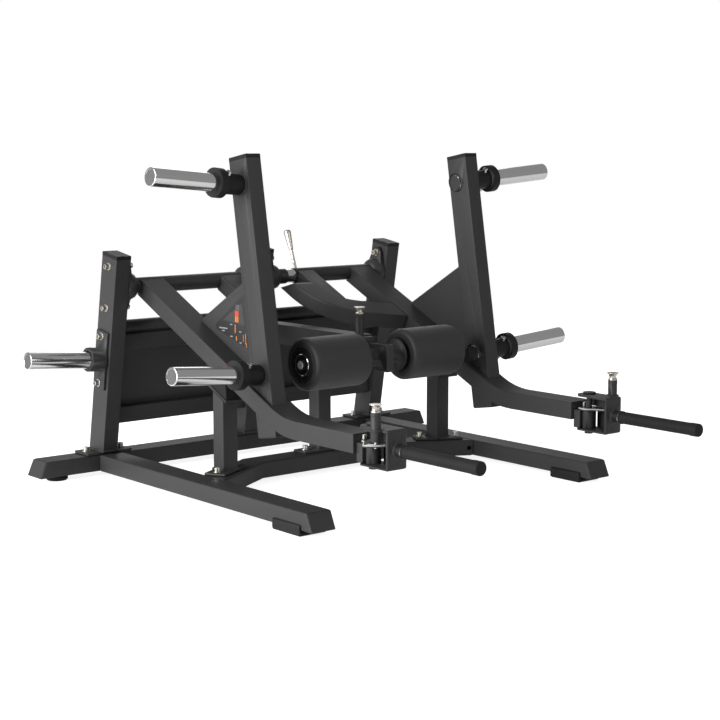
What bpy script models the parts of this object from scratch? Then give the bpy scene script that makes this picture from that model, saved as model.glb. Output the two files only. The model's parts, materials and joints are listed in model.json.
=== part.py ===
"""Plate-loaded deadlift machine: two lift levers on a common pivot shaft, over a welded tube base.

Metres, +Z up, floor at Z 0. The handles point to -Y, the uprights stand at +Y, and the machine is
centred on X 0. Left is -X.
"""

import math

import bmesh
import bpy
from mathutils import Matrix, Vector

# Clearances and walls
GAP = 0.0003
WALL = 0.003
LEVER_WALL = 0.004
PLATE = 0.008
CAP = 0.010
CORNER = 0.005

# Facets round a full turn
SMALL_SIDES = 14
ROUND_SIDES = 18
LARGE_SIDES = 24
ROLLER_SIDES = 24

# Base frame
FOOT_HEIGHT = 0.015
BASE_WIDTH = 0.080
BASE_HEIGHT = 0.050
REAR_Y = 0.7805
REAR_BEAM_HALF = 0.757
END_SLANT = 0.022
RAIL_X = 0.519
RAIL_FRONT_Y = -0.3335
MID_BEAM_Y = 0.3385
MID_BEND_X = 0.252
MID_BEND = math.radians(30)
FRONT_FOOT_Y = (-0.2905, -0.1715)
REAR_FOOT_X = 0.680
REAR_FOOT_RADIUS = 0.0325

# Uprights, lean measured from vertical towards the handles
POST_WIDTH = 0.050
UPRIGHT_DEPTH = 0.080
UPRIGHT_X = 0.521
UPRIGHT_FOOT_Y = 0.7385
UPRIGHT_LEAN = math.radians(9.6)
UPRIGHT_TOP_Z = 0.668
PIVOT_Z = 0.5715

# Levers
LEVER_X = 0.4025
LEVER_WIDTH = 0.080
LEVER_DEPTH = 0.050
LEVER_SLOPE = math.radians(25.4)
LEVER_BEND_Y = -0.0525
LEVER_BEND_RADIUS = 0.280
LEVER_START = 0.010
YOKE_X = 0.117
YOKE_STRAIGHT = 0.100
YOKE_RADIUS = 0.160
YOKE_TURN = math.radians(74)

# Weight arms and their pegs
ARM_X = 0.4065
ARM_WIDTH = 0.049
ARM_DEPTH = 0.080
ARM_FOOT = (0.0251, 0.1934)
ARM_LEAN = math.radians(9.5)
ARM_LENGTH = 0.771
PEG_HEIGHTS = {"upper": 0.694, "lower": 0.174}
PEG_SETBACK = 0.007
PEG_RADIUS = 0.025
PEG_END_X = 0.7305
PEG_RISE = 0.030 / 0.348
PEG_SWEEP = -0.026 / 0.348
HUB_RADIUS = 0.028
HUB_INNER_X = 0.374
COLLAR_X = (0.497, 0.521)
COLLAR_RADIUS = 0.040
GUSSET_THICKNESS = 0.009
GUSSET_LAP = 0.018
GUSSET_TOP_Z = 0.621

# Pivot line
TUBE_RADIUS = 0.024
SHAFT_RADIUS = 0.0125
BEARING_DEPTH = 0.041
CENTRE_BEARING_DEPTH = 0.050
BEARING_BOLT_SPACING = 0.126
HUB_X = (0.077, 0.106)
SOCKET_DEPTH = 0.008
RIGHT_TUBE_X = 0.140
SPIGOT_END_X = 0.326
COUPLING_X = (0.0985, 0.178)
COUPLING_RADIUS = 0.022
COUPLING_STROKE = 0.120
COUPLING_HANDLE_X = 0.157
COUPLING_ROD_RADIUS = 0.005
COUPLING_HANDLE_LEAN = math.radians(20)
BUSH_LENGTH = 0.024

# Swivel handles
SWIVEL_Y = -0.3885
BARREL_RADIUS = 0.020
BARREL_Z = (0.1875, 0.2395)
INDEX_THICKNESS = 0.006
INDEX_RADIUS = 0.031
BRACKET_WIDTH = 0.067
BRACKET_FRONT_Y = -0.4805
BRACKET_Z = (0.181, 0.285)
BRACKET_WALL = 0.006
BOLT_RADIUS = 0.008
PLUNGER_OFFSET = (0.0375, -0.0530)
PLUNGER_RADIUS = 0.004
HOUSING_RADIUS = 0.013
HOUSING_Z = (0.253, 0.318)
SWIVEL_HALF_RANGE = math.radians(18)
BAR_Z = 0.232
BAR_RADIUS = 0.0125
GRIP_RADIUS = 0.0170
GRIP_START_Y = -0.5165
GRIP_END_Y = -0.7805

# Lever rests
FRONT_POST_X = 0.408
FRONT_POST_Y = 0.255
REST_LENGTH = 0.118
BUFFER_HEIGHT = 0.047

# Cross rails, panel and roller slide
LOWER_RAIL_Z = 0.179
UPPER_RAIL_Z = 0.4035
ROUND_RAIL_RADIUS = 0.021
PANEL_THICKNESS = 0.003
SLEEVE_SIZE = 0.060
SLEEVE_BOTTOM_Z = 0.378
SLEEVE_FRONT_Y = 0.1285
CARRIAGE_SIZE = 0.050
CARRIAGE_BACK_Y = 0.420
CARRIAGE_STROKE = 0.120
ROLLER_Y = 0.0635
ROLLER_Z = 0.3795
ROLLER_X = (0.0795, 0.2805)
ROLLER_RADIUS = 0.075
ROLLER_EDGE = 0.011
ROLLER_RECESS = 0.008
AXLE_RADIUS = 0.015
AXLE_HUB_RADIUS = 0.026
AXLE_DISC_RADIUS = 0.048
YOKE_PLATE_HALF = 0.015
CHANNEL_WALL = 0.005
SLIDE_PIN_Y = 0.1505

# Storage pegs on the uprights
STORAGE_Z = 0.354
STORAGE_END_X = 0.795
STORAGE_RISE = math.radians(4.0)
STORAGE_COLLAR = (0.036, 0.042)

SIDES = (("left", -1), ("right", 1))
BASE_TOP = FOOT_HEIGHT + BASE_HEIGHT
UPRIGHT_FOOT_Z = BASE_TOP + PLATE
SLOPE = math.tan(LEVER_SLOPE)


def upright_y(z):
    """Centre line of the leaning uprights at a height."""
    return UPRIGHT_FOOT_Y - (z - UPRIGHT_FOOT_Z) * math.tan(UPRIGHT_LEAN)


PIVOT = Vector((0, upright_y(PIVOT_Z), PIVOT_Z))


def lever_z(y, above_centre=0.0):
    """Height of the sloping lever's centre line, or of a face that lies so far above it."""
    return PIVOT_Z + (y - PIVOT.y) * SLOPE + above_centre / math.cos(LEVER_SLOPE)


# Frames that carry a flat outline into space
def side_frame(x):
    """Outline x, y become world Y, Z, and the thickness lies along X."""
    return Matrix(((0, 0, 1, x), (1, 0, 0, 0), (0, 1, 0, 0), (0, 0, 0, 1)))


def plan_frame(z):
    return Matrix.Translation((0, 0, z))


def front_frame(y):
    """Outline x, y become world X, Z, and the thickness lies along Y."""
    return Matrix(((1, 0, 0, 0), (0, 0, -1, y), (0, 1, 0, 0), (0, 0, 0, 1)))


def slope_frame():
    """Outline x is world X, and y runs from the pivot down the levers' slope."""
    forward = Vector((0, -math.cos(LEVER_SLOPE), -math.sin(LEVER_SLOPE)))
    return basis(PIVOT, Vector((1, 0, 0)), forward)


def basis(origin, first, second):
    first = first.normalized()
    second = second.normalized()
    frame = Matrix((first, second, first.cross(second))).transposed().to_4x4()
    return Matrix.Translation(origin) @ frame


def axis_frame(point, direction):
    turn = Vector(direction).to_track_quat("Z", "Y").to_matrix().to_4x4()
    return Matrix.Translation(point) @ turn


# Scene, collections and materials
def start_scene():
    for thing in list(bpy.data.objects):
        bpy.data.objects.remove(thing)
    made = []
    for name in ("plate_loaded_deadlift_machine", "cutters"):
        collection = bpy.data.collections.new(name)
        bpy.context.scene.collection.children.link(collection)
        made.append(collection)
    return made


PARTS, CUTTERS = start_scene()
FINISHES = {
    "powder": ((0.022, 0.022, 0.023, 1), 0.48, 0.35),
    "moulded": ((0.012, 0.012, 0.012, 1), 0.60, 0.0),
    "rubber": ((0.016, 0.016, 0.016, 1), 0.75, 0.0),
    "chrome": ((0.62, 0.62, 0.61, 1), 0.16, 1.0),
    "steel": ((0.56, 0.53, 0.49, 1), 0.32, 1.0),
    "bronze": ((0.45, 0.33, 0.18, 1), 0.4, 1.0),
}


def material(name, finish):
    colour, roughness, metallic = FINISHES[finish]
    made = bpy.data.materials.new(name)
    made.use_nodes = True
    made.diffuse_color = colour
    shader = made.node_tree.nodes["Principled BSDF"]
    shader.inputs["Base Color"].default_value = colour
    shader.inputs["Roughness"].default_value = roughness
    shader.inputs["Metallic"].default_value = metallic
    return made


def axis_empty(name, point):
    empty = bpy.data.objects.new(name, None)
    empty.empty_display_size = 0.05
    empty.location = point
    PARTS.objects.link(empty)
    return empty


def part(thing, finish, axis=None):
    """Makes an object a named piece of the machine, hung on its joint's empty if it moves."""
    for collection in list(thing.users_collection):
        collection.objects.unlink(thing)
    PARTS.objects.link(thing)
    thing.data.materials.clear()
    thing.data.materials.append(material(thing.name, finish))
    if axis is not None:
        thing.parent = axis
        thing.matrix_parent_inverse = Matrix.Translation(-axis.location)
    return thing


# Shapes
def realise(thing):
    """Turns a curve or a modified object into a welded mesh whose faces point out."""
    bpy.context.view_layer.update()
    graph = bpy.context.evaluated_depsgraph_get()
    mesh = bpy.data.meshes.new_from_object(thing.evaluated_get(graph))
    shape = bmesh.new()
    shape.from_mesh(mesh)
    bmesh.ops.remove_doubles(shape, verts=shape.verts, dist=1e-6)
    bmesh.ops.recalc_face_normals(shape, faces=shape.faces)
    shape.to_mesh(mesh)
    shape.free()
    made = bpy.data.objects.new(thing.name, mesh)
    made.matrix_world = thing.matrix_world.copy()
    name = thing.name
    bpy.data.objects.remove(thing)
    made.name = name
    CUTTERS.objects.link(made)
    return made


def prism(name, outlines, thickness, frame):
    """A flat outline, or an outline and its holes, given a thickness centred on its frame."""
    if not isinstance(outlines[0][0], (tuple, list, Vector)):
        outlines = [outlines]
    curve = bpy.data.curves.new(name, "CURVE")
    curve.dimensions = "2D"
    curve.fill_mode = "BOTH"
    curve.extrude = thickness / 2
    for outline in outlines:
        spline = curve.splines.new("POLY")
        spline.points.add(len(outline) - 1)
        for point, (x, y) in zip(spline.points, outline):
            point.co = (x, y, 0, 1)
        spline.use_cyclic_u = True
    thing = bpy.data.objects.new(name, curve)
    thing.matrix_world = frame
    CUTTERS.objects.link(thing)
    return realise(thing)


def box(name, low, high):
    shape = bmesh.new()
    bmesh.ops.create_cube(shape, size=1)
    low, high = Vector(low), Vector(high)
    size, centre = high - low, (low + high) / 2
    bmesh.ops.scale(shape, vec=size, verts=shape.verts)
    bmesh.ops.translate(shape, vec=centre, verts=shape.verts)
    mesh = bpy.data.meshes.new(name)
    shape.to_mesh(mesh)
    shape.free()
    thing = bpy.data.objects.new(name, mesh)
    CUTTERS.objects.link(thing)
    return thing


def cylinder(name, radius, start, end, sides=ROUND_SIDES):
    start, end = Vector(start), Vector(end)
    shape = bmesh.new()
    bmesh.ops.create_cone(
        shape, cap_ends=True, segments=sides, radius1=radius, radius2=radius, depth=(end - start).length
    )
    mesh = bpy.data.meshes.new(name)
    shape.to_mesh(mesh)
    shape.free()
    smooth(mesh)
    thing = bpy.data.objects.new(name, mesh)
    thing.matrix_world = axis_frame((start + end) / 2, end - start)
    CUTTERS.objects.link(thing)
    return thing


def turned(name, profile, start, direction, sides=ROUND_SIDES):
    """A profile of (radius, distance) points turned about an axis. A ring's profile closes on itself."""
    ring = min(radius for radius, _ in profile) > 0
    mesh = bpy.data.meshes.new(name)
    count = len(profile)
    edges = [(i, (i + 1) % count) for i in range(count if ring else count - 1)]
    mesh.from_pydata([(radius, 0, height) for radius, height in profile], edges, [])
    thing = bpy.data.objects.new(name, mesh)
    screw = thing.modifiers.new("turn", "SCREW")
    screw.steps = screw.render_steps = sides
    screw.use_merge_vertices = True
    screw.merge_threshold = 1e-6
    thing.matrix_world = axis_frame(start, direction)
    CUTTERS.objects.link(thing)
    made = realise(thing)
    smooth(made.data)
    return made


def smooth(mesh, angle=40):
    mesh.shade_smooth()
    mesh.set_sharp_from_angle(angle=math.radians(angle))


def soften(thing, width=CORNER, segments=2, angle=50):
    bevel = thing.modifiers.new("soft edges", "BEVEL")
    bevel.width = width
    bevel.segments = segments
    bevel.limit_method = "ANGLE"
    bevel.angle_limit = math.radians(angle)
    return thing


def combine(thing, others, operation):
    for other in others:
        change = thing.modifiers.new(operation.lower(), "BOOLEAN")
        change.operation = operation
        change.solver = "EXACT"
        change.object = other
        other.hide_render = True
        other.display_type = "WIRE"
    return thing


def cut(thing, *others):
    return combine(thing, others, "DIFFERENCE")


def join(thing, *others):
    return combine(thing, others, "UNION")


# Outlines
def rectangle(low, high):
    return [(low[0], low[1]), (high[0], low[1]), (high[0], high[1]), (low[0], high[1])]


def tube_section(width, height, wall=WALL, corner=CORNER, steps=3):
    """Rounded outer rectangle and the square inner one of a steel tube, centred on 0."""
    outer = []
    centres = ((1, 1, 0), (-1, 1, 90), (-1, -1, 180), (1, -1, 270))
    for sx, sy, start in centres:
        cx, cy = sx * (width / 2 - corner), sy * (height / 2 - corner)
        for step in range(steps):
            angle = math.radians(start + 90 * step / (steps - 1))
            outer.append((cx + corner * math.cos(angle), cy + corner * math.sin(angle)))
    half = (width / 2 - wall, height / 2 - wall)
    return outer, rectangle((-half[0], -half[1]), half)


def arc(centre, radius, start, end, steps):
    """Points on an arc, angles in degrees."""
    angles = [math.radians(start + (end - start) * i / steps) for i in range(steps + 1)]
    return [(centre[0] + radius * math.cos(a), centre[1] + radius * math.sin(a)) for a in angles]


def bent_path(start, corner, end, radius, steps=7):
    """A line that turns once, with the turn rounded: (points, unit normals)."""
    start, corner, end = Vector(start), Vector(corner), Vector(end)
    incoming, outgoing = (corner - start).normalized(), (end - corner).normalized()
    turn = incoming.angle_signed(outgoing)
    reach = radius * math.tan(abs(turn) / 2)
    side = -1 if turn > 0 else 1
    points = [start]
    headings = [incoming]
    centre = corner - incoming * reach + Vector((-incoming.y, incoming.x)) * side * radius
    for i in range(steps + 1):
        angle = -turn * i / steps
        spoke = corner - incoming * reach - centre
        points.append(centre + rotated(spoke, angle))
        headings.append(rotated(incoming, angle))
    points.append(end)
    headings.append(outgoing)
    return points, [Vector((-h.y, h.x)) for h in headings]


def rotated(vector, angle):
    cosine, sine = math.cos(angle), math.sin(angle)
    return Vector((vector.x * cosine - vector.y * sine, vector.x * sine + vector.y * cosine))


def strip(path, half):
    points, normals = path
    upper = [p + n * half for p, n in zip(points, normals)]
    lower = [p - n * half for p, n in zip(points, normals)]
    return [tuple(p) for p in upper + lower[::-1]]


def lean_box(name, centre, along, half_along, half_across, x, width):
    """A bar of the side view that leans with a direction."""
    along = Vector(along).normalized()
    across = Vector((-along.y, along.x))
    centre = Vector(centre)
    corners = [
        centre + along * sa * half_along + across * sc * half_across
        for sa, sc in ((-1, -1), (1, -1), (1, 1), (-1, 1))
    ]
    return prism(name, [tuple(c) for c in corners], width, side_frame(x))


# Base frame
def rear_crossbeam():
    top, bottom = REAR_BEAM_HALF - END_SLANT, REAR_BEAM_HALF
    outline = [(-bottom, FOOT_HEIGHT), (bottom, FOOT_HEIGHT), (top, BASE_TOP), (-top, BASE_TOP)]
    beam = prism("rear_crossbeam", outline, BASE_WIDTH, front_frame(REAR_Y - BASE_WIDTH / 2))
    soften(beam, angle=60)
    cavity = [
        (-bottom + CAP + END_SLANT, FOOT_HEIGHT + WALL),
        (bottom - CAP - END_SLANT, FOOT_HEIGHT + WALL),
        (top - CAP - END_SLANT, BASE_TOP - WALL),
        (-top + CAP + END_SLANT, BASE_TOP - WALL),
    ]
    inside = prism(
        "rear_beam_cavity", cavity, BASE_WIDTH - 2 * WALL, front_frame(REAR_Y - BASE_WIDTH / 2)
    )
    centre_y = REAR_Y - BASE_WIDTH / 2
    wire_hole = cylinder(
        "rear_beam_vent", 0.012, (0, centre_y, FOOT_HEIGHT - 0.01), (0, centre_y, FOOT_HEIGHT + 0.02)
    )
    return part(cut(beam, inside, wire_hole), "powder")


def side_rail(side, sign):
    back = REAR_Y - BASE_WIDTH - GAP
    front_top = RAIL_FRONT_Y + END_SLANT
    outline = [(back, FOOT_HEIGHT), (back, BASE_TOP), (front_top, BASE_TOP), (RAIL_FRONT_Y, FOOT_HEIGHT)]
    rail = prism(f"{side}_side_rail", outline, BASE_WIDTH, side_frame(sign * RAIL_X))
    soften(rail, angle=60)
    cavity = rectangle(
        (front_top + CAP, FOOT_HEIGHT + WALL),
        (back + 0.02, BASE_TOP - WALL),
    )
    inside = prism(f"{side}_rail_cavity", cavity, BASE_WIDTH - 2 * WALL, side_frame(sign * RAIL_X))
    return part(cut(rail, inside), "powder")


def mid_line():
    reach = RAIL_X - BASE_WIDTH / 2 - GAP - MID_BEND_X
    return MID_BEND_X + reach, MID_BEAM_Y - reach * math.tan(MID_BEND)


def mid_crossbeam():
    """The beam runs straight across and turns forward to meet both rails."""
    def outline(half, extra):
        end_x, _ = mid_line()
        end_x += extra
        miter = half * math.tan(MID_BEND / 2)
        rows = []
        for offset, shift in ((half, miter), (-half, -miter)):
            end_y = MID_BEAM_Y - (end_x - MID_BEND_X) * math.tan(MID_BEND) + offset / math.cos(MID_BEND)
            bend = (MID_BEND_X + shift, MID_BEAM_Y + offset)
            rows.append([(-end_x, end_y), (-bend[0], bend[1]), bend, (end_x, end_y)])
        return rows[0] + rows[1][::-1]

    middle = FOOT_HEIGHT + BASE_HEIGHT / 2
    beam = prism("mid_crossbeam", outline(BASE_WIDTH / 2, 0), BASE_HEIGHT, plan_frame(middle))
    soften(beam, angle=60)
    inside = prism(
        "mid_beam_cavity",
        outline(BASE_WIDTH / 2 - WALL, 0.01),
        BASE_HEIGHT - 2 * WALL,
        plan_frame(middle),
    )
    holes = []
    for side, sign in SIDES:
        x = sign * (mid_line()[0] - 0.012)
        y = mid_line()[1] - BASE_WIDTH / 2
        ends = [(x, y - 0.05, middle), (x, y + 0.02, middle)]
        holes.append(cylinder(f"{side}_mid_beam_hole", 0.007, *ends, 16))
    return part(cut(beam, inside, *holes), "powder")


def bolted_foot(name, x, y, width, depth, turn=0.0):
    """Base plate under a post, with its two bolt holes."""
    plate = box(name, (-width / 2, -depth / 2, 0), (width / 2, depth / 2, PLATE - GAP))
    plate.matrix_world = Matrix.Translation((x, y, BASE_TOP + GAP)) @ Matrix.Rotation(turn, 4, "Z")
    soften(plate, 0.002, 1)
    return plate


def upright(name, x):
    lean = Vector((-math.sin(UPRIGHT_LEAN), math.cos(UPRIGHT_LEAN)))
    foot = Vector((UPRIGHT_FOOT_Y, UPRIGHT_FOOT_Z))
    top = Vector((upright_y(UPRIGHT_TOP_Z), UPRIGHT_TOP_Z))
    across = Vector((lean.y, -lean.x)) * UPRIGHT_DEPTH / 2
    spread = UPRIGHT_DEPTH / 2 / math.cos(UPRIGHT_LEAN)
    base_z = UPRIGHT_FOOT_Z - 0.001
    outline = [
        (foot.x - spread, base_z),
        (foot.x + spread, base_z),
        tuple(top + across),
        tuple(top - across),
    ]
    post = prism(name, outline, POST_WIDTH, side_frame(x))
    soften(post, angle=60)
    start = Vector((upright_y(BASE_TOP - 0.01), BASE_TOP - 0.01))
    end = top - lean * CAP
    inside = lean_box(
        f"{name}_cavity",
        (start + end) / 2,
        lean,
        (end - start).length / 2,
        UPRIGHT_DEPTH / 2 - WALL,
        x,
        POST_WIDTH - 2 * WALL,
    )
    plate = bolted_foot(f"{name}_plate", x, UPRIGHT_FOOT_Y, 0.155, 0.078)
    return cut(join(post, plate), inside)


def uprights():
    made = []
    for side, sign in SIDES:
        made.append(part(upright(f"{side}_upright", sign * UPRIGHT_X), "powder"))
    centre = upright("centre_upright", 0)
    half = Vector((0.04, 0, 0))
    shaft_hole = cylinder("centre_upright_bore", SHAFT_RADIUS + 0.002, PIVOT - half, PIVOT + half)
    return made + [part(cut(centre, shaft_hole, *rail_clearance()), "powder")]


def rail_clearance():
    """Openings that let the cross rails and the panel pass through the centre upright."""
    made = []
    for name, z in (("lower", LOWER_RAIL_Z), ("upper", UPPER_RAIL_Z)):
        half = POST_WIDTH / 2 + GAP
        y = upright_y(z)
        made.append(box(f"{name}_rail_opening", (-0.05, y - half, z - half), (0.05, y + half, z + half)))
    z = round_rail_z()
    y = upright_y(UPPER_RAIL_Z)
    ends = [(-0.05, y, z), (0.05, y, z)]
    made.append(cylinder("round_rail_opening", ROUND_RAIL_RADIUS + GAP, *ends))
    made.append(panel_shape("panel_opening", PANEL_THICKNESS / 2 + GAP, 0.1, GAP))
    return made


def round_rail_z():
    return UPPER_RAIL_Z + POST_WIDTH / 2 + ROUND_RAIL_RADIUS - 0.002


def panel_shape(name, half_thickness, width, extra=0.0):
    low = Vector((upright_y(LOWER_RAIL_Z), LOWER_RAIL_Z + POST_WIDTH / 2 + GAP - extra))
    high = Vector((upright_y(UPPER_RAIL_Z), UPPER_RAIL_Z - POST_WIDTH / 2 - GAP + extra))
    outline = [
        (low.x - half_thickness, low.y),
        (low.x + half_thickness, low.y),
        (high.x + half_thickness, high.y),
        (high.x - half_thickness, high.y),
    ]
    return prism(name, outline, width, side_frame(0))


def cross_rails():
    half_span = UPRIGHT_X - POST_WIDTH / 2 - GAP
    made = []
    for name, z in (("lower_rail", LOWER_RAIL_Z), ("upper_rail", UPPER_RAIL_Z)):
        frame = side_frame(0)
        frame.translation = (0, upright_y(z), z)
        made.append(prism(name, tube_section(POST_WIDTH, POST_WIDTH), 2 * half_span, frame))
    y, z = upright_y(UPPER_RAIL_Z), round_rail_z()
    ends = [(-half_span, y, z), (half_span, y, z)]
    round_rail = cylinder("round_rail", ROUND_RAIL_RADIUS, *ends)
    reach = Vector((0.01, 0, 0))
    bore = cylinder(
        "round_rail_bore", ROUND_RAIL_RADIUS - WALL, Vector(ends[0]) - reach, Vector(ends[1]) + reach, 20
    )
    cut(join(made[1], round_rail), bore)
    panel = panel_shape("rear_panel", PANEL_THICKNESS / 2, 2 * half_span)
    return [part(made[0], "powder"), part(made[1], "powder"), part(panel, "powder")]


def rubber_feet():
    made = []
    for side, sign in SIDES:
        x = sign * RAIL_X
        half = BASE_WIDTH / 2 + 0.006
        foot = box(
            f"{side}_front_foot",
            (x - half, FRONT_FOOT_Y[0], 0),
            (x + half, FRONT_FOOT_Y[1], FOOT_HEIGHT + 0.017),
        )
        soften(foot, 0.006, 2)
        pocket = box(
            f"{side}_foot_pocket",
            (x - BASE_WIDTH / 2 - GAP, FRONT_FOOT_Y[0] - 0.01, FOOT_HEIGHT - GAP),
            (x + BASE_WIDTH / 2 + GAP, FRONT_FOOT_Y[1] + 0.01, FOOT_HEIGHT + 0.05),
        )
        made.append(part(cut(foot, pocket), "moulded"))
        profile = [
            (0, 0),
            (REAR_FOOT_RADIUS - 0.004, 0),
            (REAR_FOOT_RADIUS, 0.004),
            (REAR_FOOT_RADIUS, FOOT_HEIGHT - GAP),
            (0, FOOT_HEIGHT - GAP),
        ]
        place = (sign * REAR_FOOT_X, REAR_Y - BASE_WIDTH / 2, 0)
        made.append(part(turned(f"{side}_rear_foot", profile, place, (0, 0, 1)), "rubber"))
    return made


# Lever rests and centre post
def front_posts():
    """Posts that hold the levers at rest: a sloping plate on each, and a rubber block on the plate."""
    made = []
    underside = -LEVER_DEPTH / 2
    plate_top = underside - BUFFER_HEIGHT
    cosine = math.cos(LEVER_SLOPE)
    low_y, high_y = FRONT_POST_Y - REST_LENGTH * cosine / 2, FRONT_POST_Y + REST_LENGTH * cosine / 2
    for side, sign in SIDES:
        x = sign * FRONT_POST_X
        near, far = FRONT_POST_Y - POST_WIDTH / 2, FRONT_POST_Y + POST_WIDTH / 2
        base_z = BASE_TOP + PLATE - 0.001
        seat = plate_top - PLATE / 2
        outline = [(near, base_z), (far, base_z), (far, lever_z(far, seat)), (near, lever_z(near, seat))]
        post = prism(f"{side}_front_post", outline, POST_WIDTH, side_frame(x))
        soften(post, angle=60)
        foot = bolted_foot(f"{side}_post_foot", x, FRONT_POST_Y, 0.150, 0.065, -sign * MID_BEND)
        lips = [
            (low_y, lever_z(low_y, plate_top - PLATE)),
            (high_y, lever_z(high_y, plate_top - PLATE)),
            (high_y, lever_z(high_y, plate_top)),
            (low_y, lever_z(low_y, plate_top)),
        ]
        rest = prism(f"{side}_rest_plate", lips, LEVER_WIDTH, side_frame(sign * LEVER_X))
        bore = box(
            f"{side}_post_cavity",
            (x - POST_WIDTH / 2 + WALL, near + WALL, BASE_TOP - 0.01),
            (x + POST_WIDTH / 2 - WALL, far - WALL, lever_z(near, plate_top - PLATE) - 0.010),
        )
        made.append(part(cut(join(post, foot, rest), bore), "powder"))
        top = underside - GAP
        bottom = plate_top + GAP
        inset = 0.002
        block = [
            (low_y + inset, lever_z(low_y + inset, bottom)),
            (high_y - inset, lever_z(high_y - inset, bottom)),
            (high_y - 3 * inset, lever_z(high_y - 3 * inset, top)),
            (low_y + 3 * inset, lever_z(low_y + 3 * inset, top)),
        ]
        rubber = prism(f"{side}_rest_buffer", block, LEVER_WIDTH - 2 * inset, side_frame(sign * LEVER_X))
        soften(rubber, 0.004, 2, 30)
        made.append(part(rubber, "rubber"))
    return made


def centre_post():
    frame = plan_frame((UPRIGHT_FOOT_Z + SLEEVE_BOTTOM_Z - GAP) / 2 - 0.0005)
    frame.translation.y = MID_BEAM_Y
    height = SLEEVE_BOTTOM_Z - GAP - UPRIGHT_FOOT_Z + 0.001
    post = prism("centre_post", tube_section(POST_WIDTH, POST_WIDTH), height, frame)
    foot = bolted_foot("centre_post_foot", 0, MID_BEAM_Y, 0.160, 0.060)
    return part(join(post, foot), "powder")


# Roller slide
def slide_sleeve():
    """Square sleeve from the centre upright to the rollers. The roller pin's guide stands on it."""
    top = SLEEVE_BOTTOM_Z + SLEEVE_SIZE
    def back(z):
        return upright_y(z) - UPRIGHT_DEPTH / 2 / math.cos(UPRIGHT_LEAN) - GAP
    outline = [
        (SLEEVE_FRONT_Y, SLEEVE_BOTTOM_Z),
        (back(SLEEVE_BOTTOM_Z), SLEEVE_BOTTOM_Z),
        (back(top), top),
        (SLEEVE_FRONT_Y, top),
    ]
    sleeve = prism("slide_sleeve", outline, SLEEVE_SIZE, side_frame(0))
    soften(sleeve, 0.004, 2, 60)
    half = CARRIAGE_SIZE / 2 + GAP
    centre_z = SLEEVE_BOTTOM_Z + SLEEVE_SIZE / 2
    inside = box(
        "sleeve_cavity",
        (-half, SLEEVE_FRONT_Y - 0.01, centre_z - half),
        (half, back(SLEEVE_BOTTOM_Z) + 0.02, centre_z + half),
    )
    guide = cylinder(
        "slide_pin_guide", HOUSING_RADIUS, (0, SLIDE_PIN_Y, top - 0.003), (0, SLIDE_PIN_Y, top + 0.050)
    )
    bore = cylinder(
        "slide_pin_bore",
        PLUNGER_RADIUS + GAP,
        (0, SLIDE_PIN_Y, top - 0.02),
        (0, SLIDE_PIN_Y, top + 0.06),
        SMALL_SIDES,
    )
    return part(cut(join(sleeve, guide), inside, bore), "powder")


def knob_profile(shaft_length):
    """Pull knob: a shaft below a ring, a neck and a flared cap. Distance 0 is the ring's underside."""
    return [
        (0, -shaft_length),
        (PLUNGER_RADIUS, -shaft_length),
        (PLUNGER_RADIUS, 0),
        (0.0115, 0),
        (0.0115, 0.006),
        (0.0080, 0.008),
        (0.0080, 0.015),
        (0.0165, 0.022),
        (0.0165, 0.026),
        (0, 0.030),
    ]


def roller_carriage(axis):
    centre_z = SLEEVE_BOTTOM_Z + SLEEVE_SIZE / 2
    front = SLEEVE_FRONT_Y - 0.020
    frame = front_frame((CARRIAGE_BACK_Y + front) / 2)
    frame.translation.z = centre_z
    tube = prism(
        "roller_carriage", tube_section(CARRIAGE_SIZE, CARRIAGE_SIZE), CARRIAGE_BACK_Y - front, frame
    )
    slot_half = PLUNGER_RADIUS + 2 * GAP
    slot = box(
        "carriage_slot",
        (-slot_half, SLIDE_PIN_Y - slot_half, centre_z),
        (slot_half, SLIDE_PIN_Y + CARRIAGE_STROKE + slot_half, centre_z + CARRIAGE_SIZE),
    )
    channel_low, channel_high = ROLLER_Z - 0.040, ROLLER_Z + 0.040
    channel_front = ROLLER_Y - 0.054
    plate = box(
        "carriage_end_plate",
        (-0.030, front - 0.004, channel_low),
        (0.030, front + 0.004, centre_z + CARRIAGE_SIZE / 2),
    )
    channel = prism(
        "roller_channel",
        rectangle((channel_front, channel_low), (front, channel_high)),
        2 * YOKE_PLATE_HALF,
        side_frame(0),
    )
    soften(channel, 0.004, 2, 60)
    inside = YOKE_PLATE_HALF - CHANNEL_WALL
    hollow = box(
        "channel_hollow",
        (-inside, channel_front + CHANNEL_WALL, channel_low - 0.01),
        (inside, front - 0.004, channel_high + 0.01),
    )
    axle_line = (0, ROLLER_Y, ROLLER_Z)
    reach = ROLLER_X[1] + 0.004
    half = [
        (AXLE_RADIUS, reach),
        (AXLE_RADIUS, 0.068),
        (AXLE_DISC_RADIUS, 0.068),
        (AXLE_DISC_RADIUS, 0.064),
        (AXLE_HUB_RADIUS, 0.064),
        (AXLE_HUB_RADIUS, YOKE_PLATE_HALF - 0.002),
    ]
    profile = [(0, reach)] + half + [(r, -h) for r, h in half[::-1]] + [(0, -reach)]
    axle = turned("roller_axle", profile, axle_line, (1, 0, 0))
    cut(channel, hollow)
    return part(join(cut(tube, slot), plate, channel, axle), "powder", axis)


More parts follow.
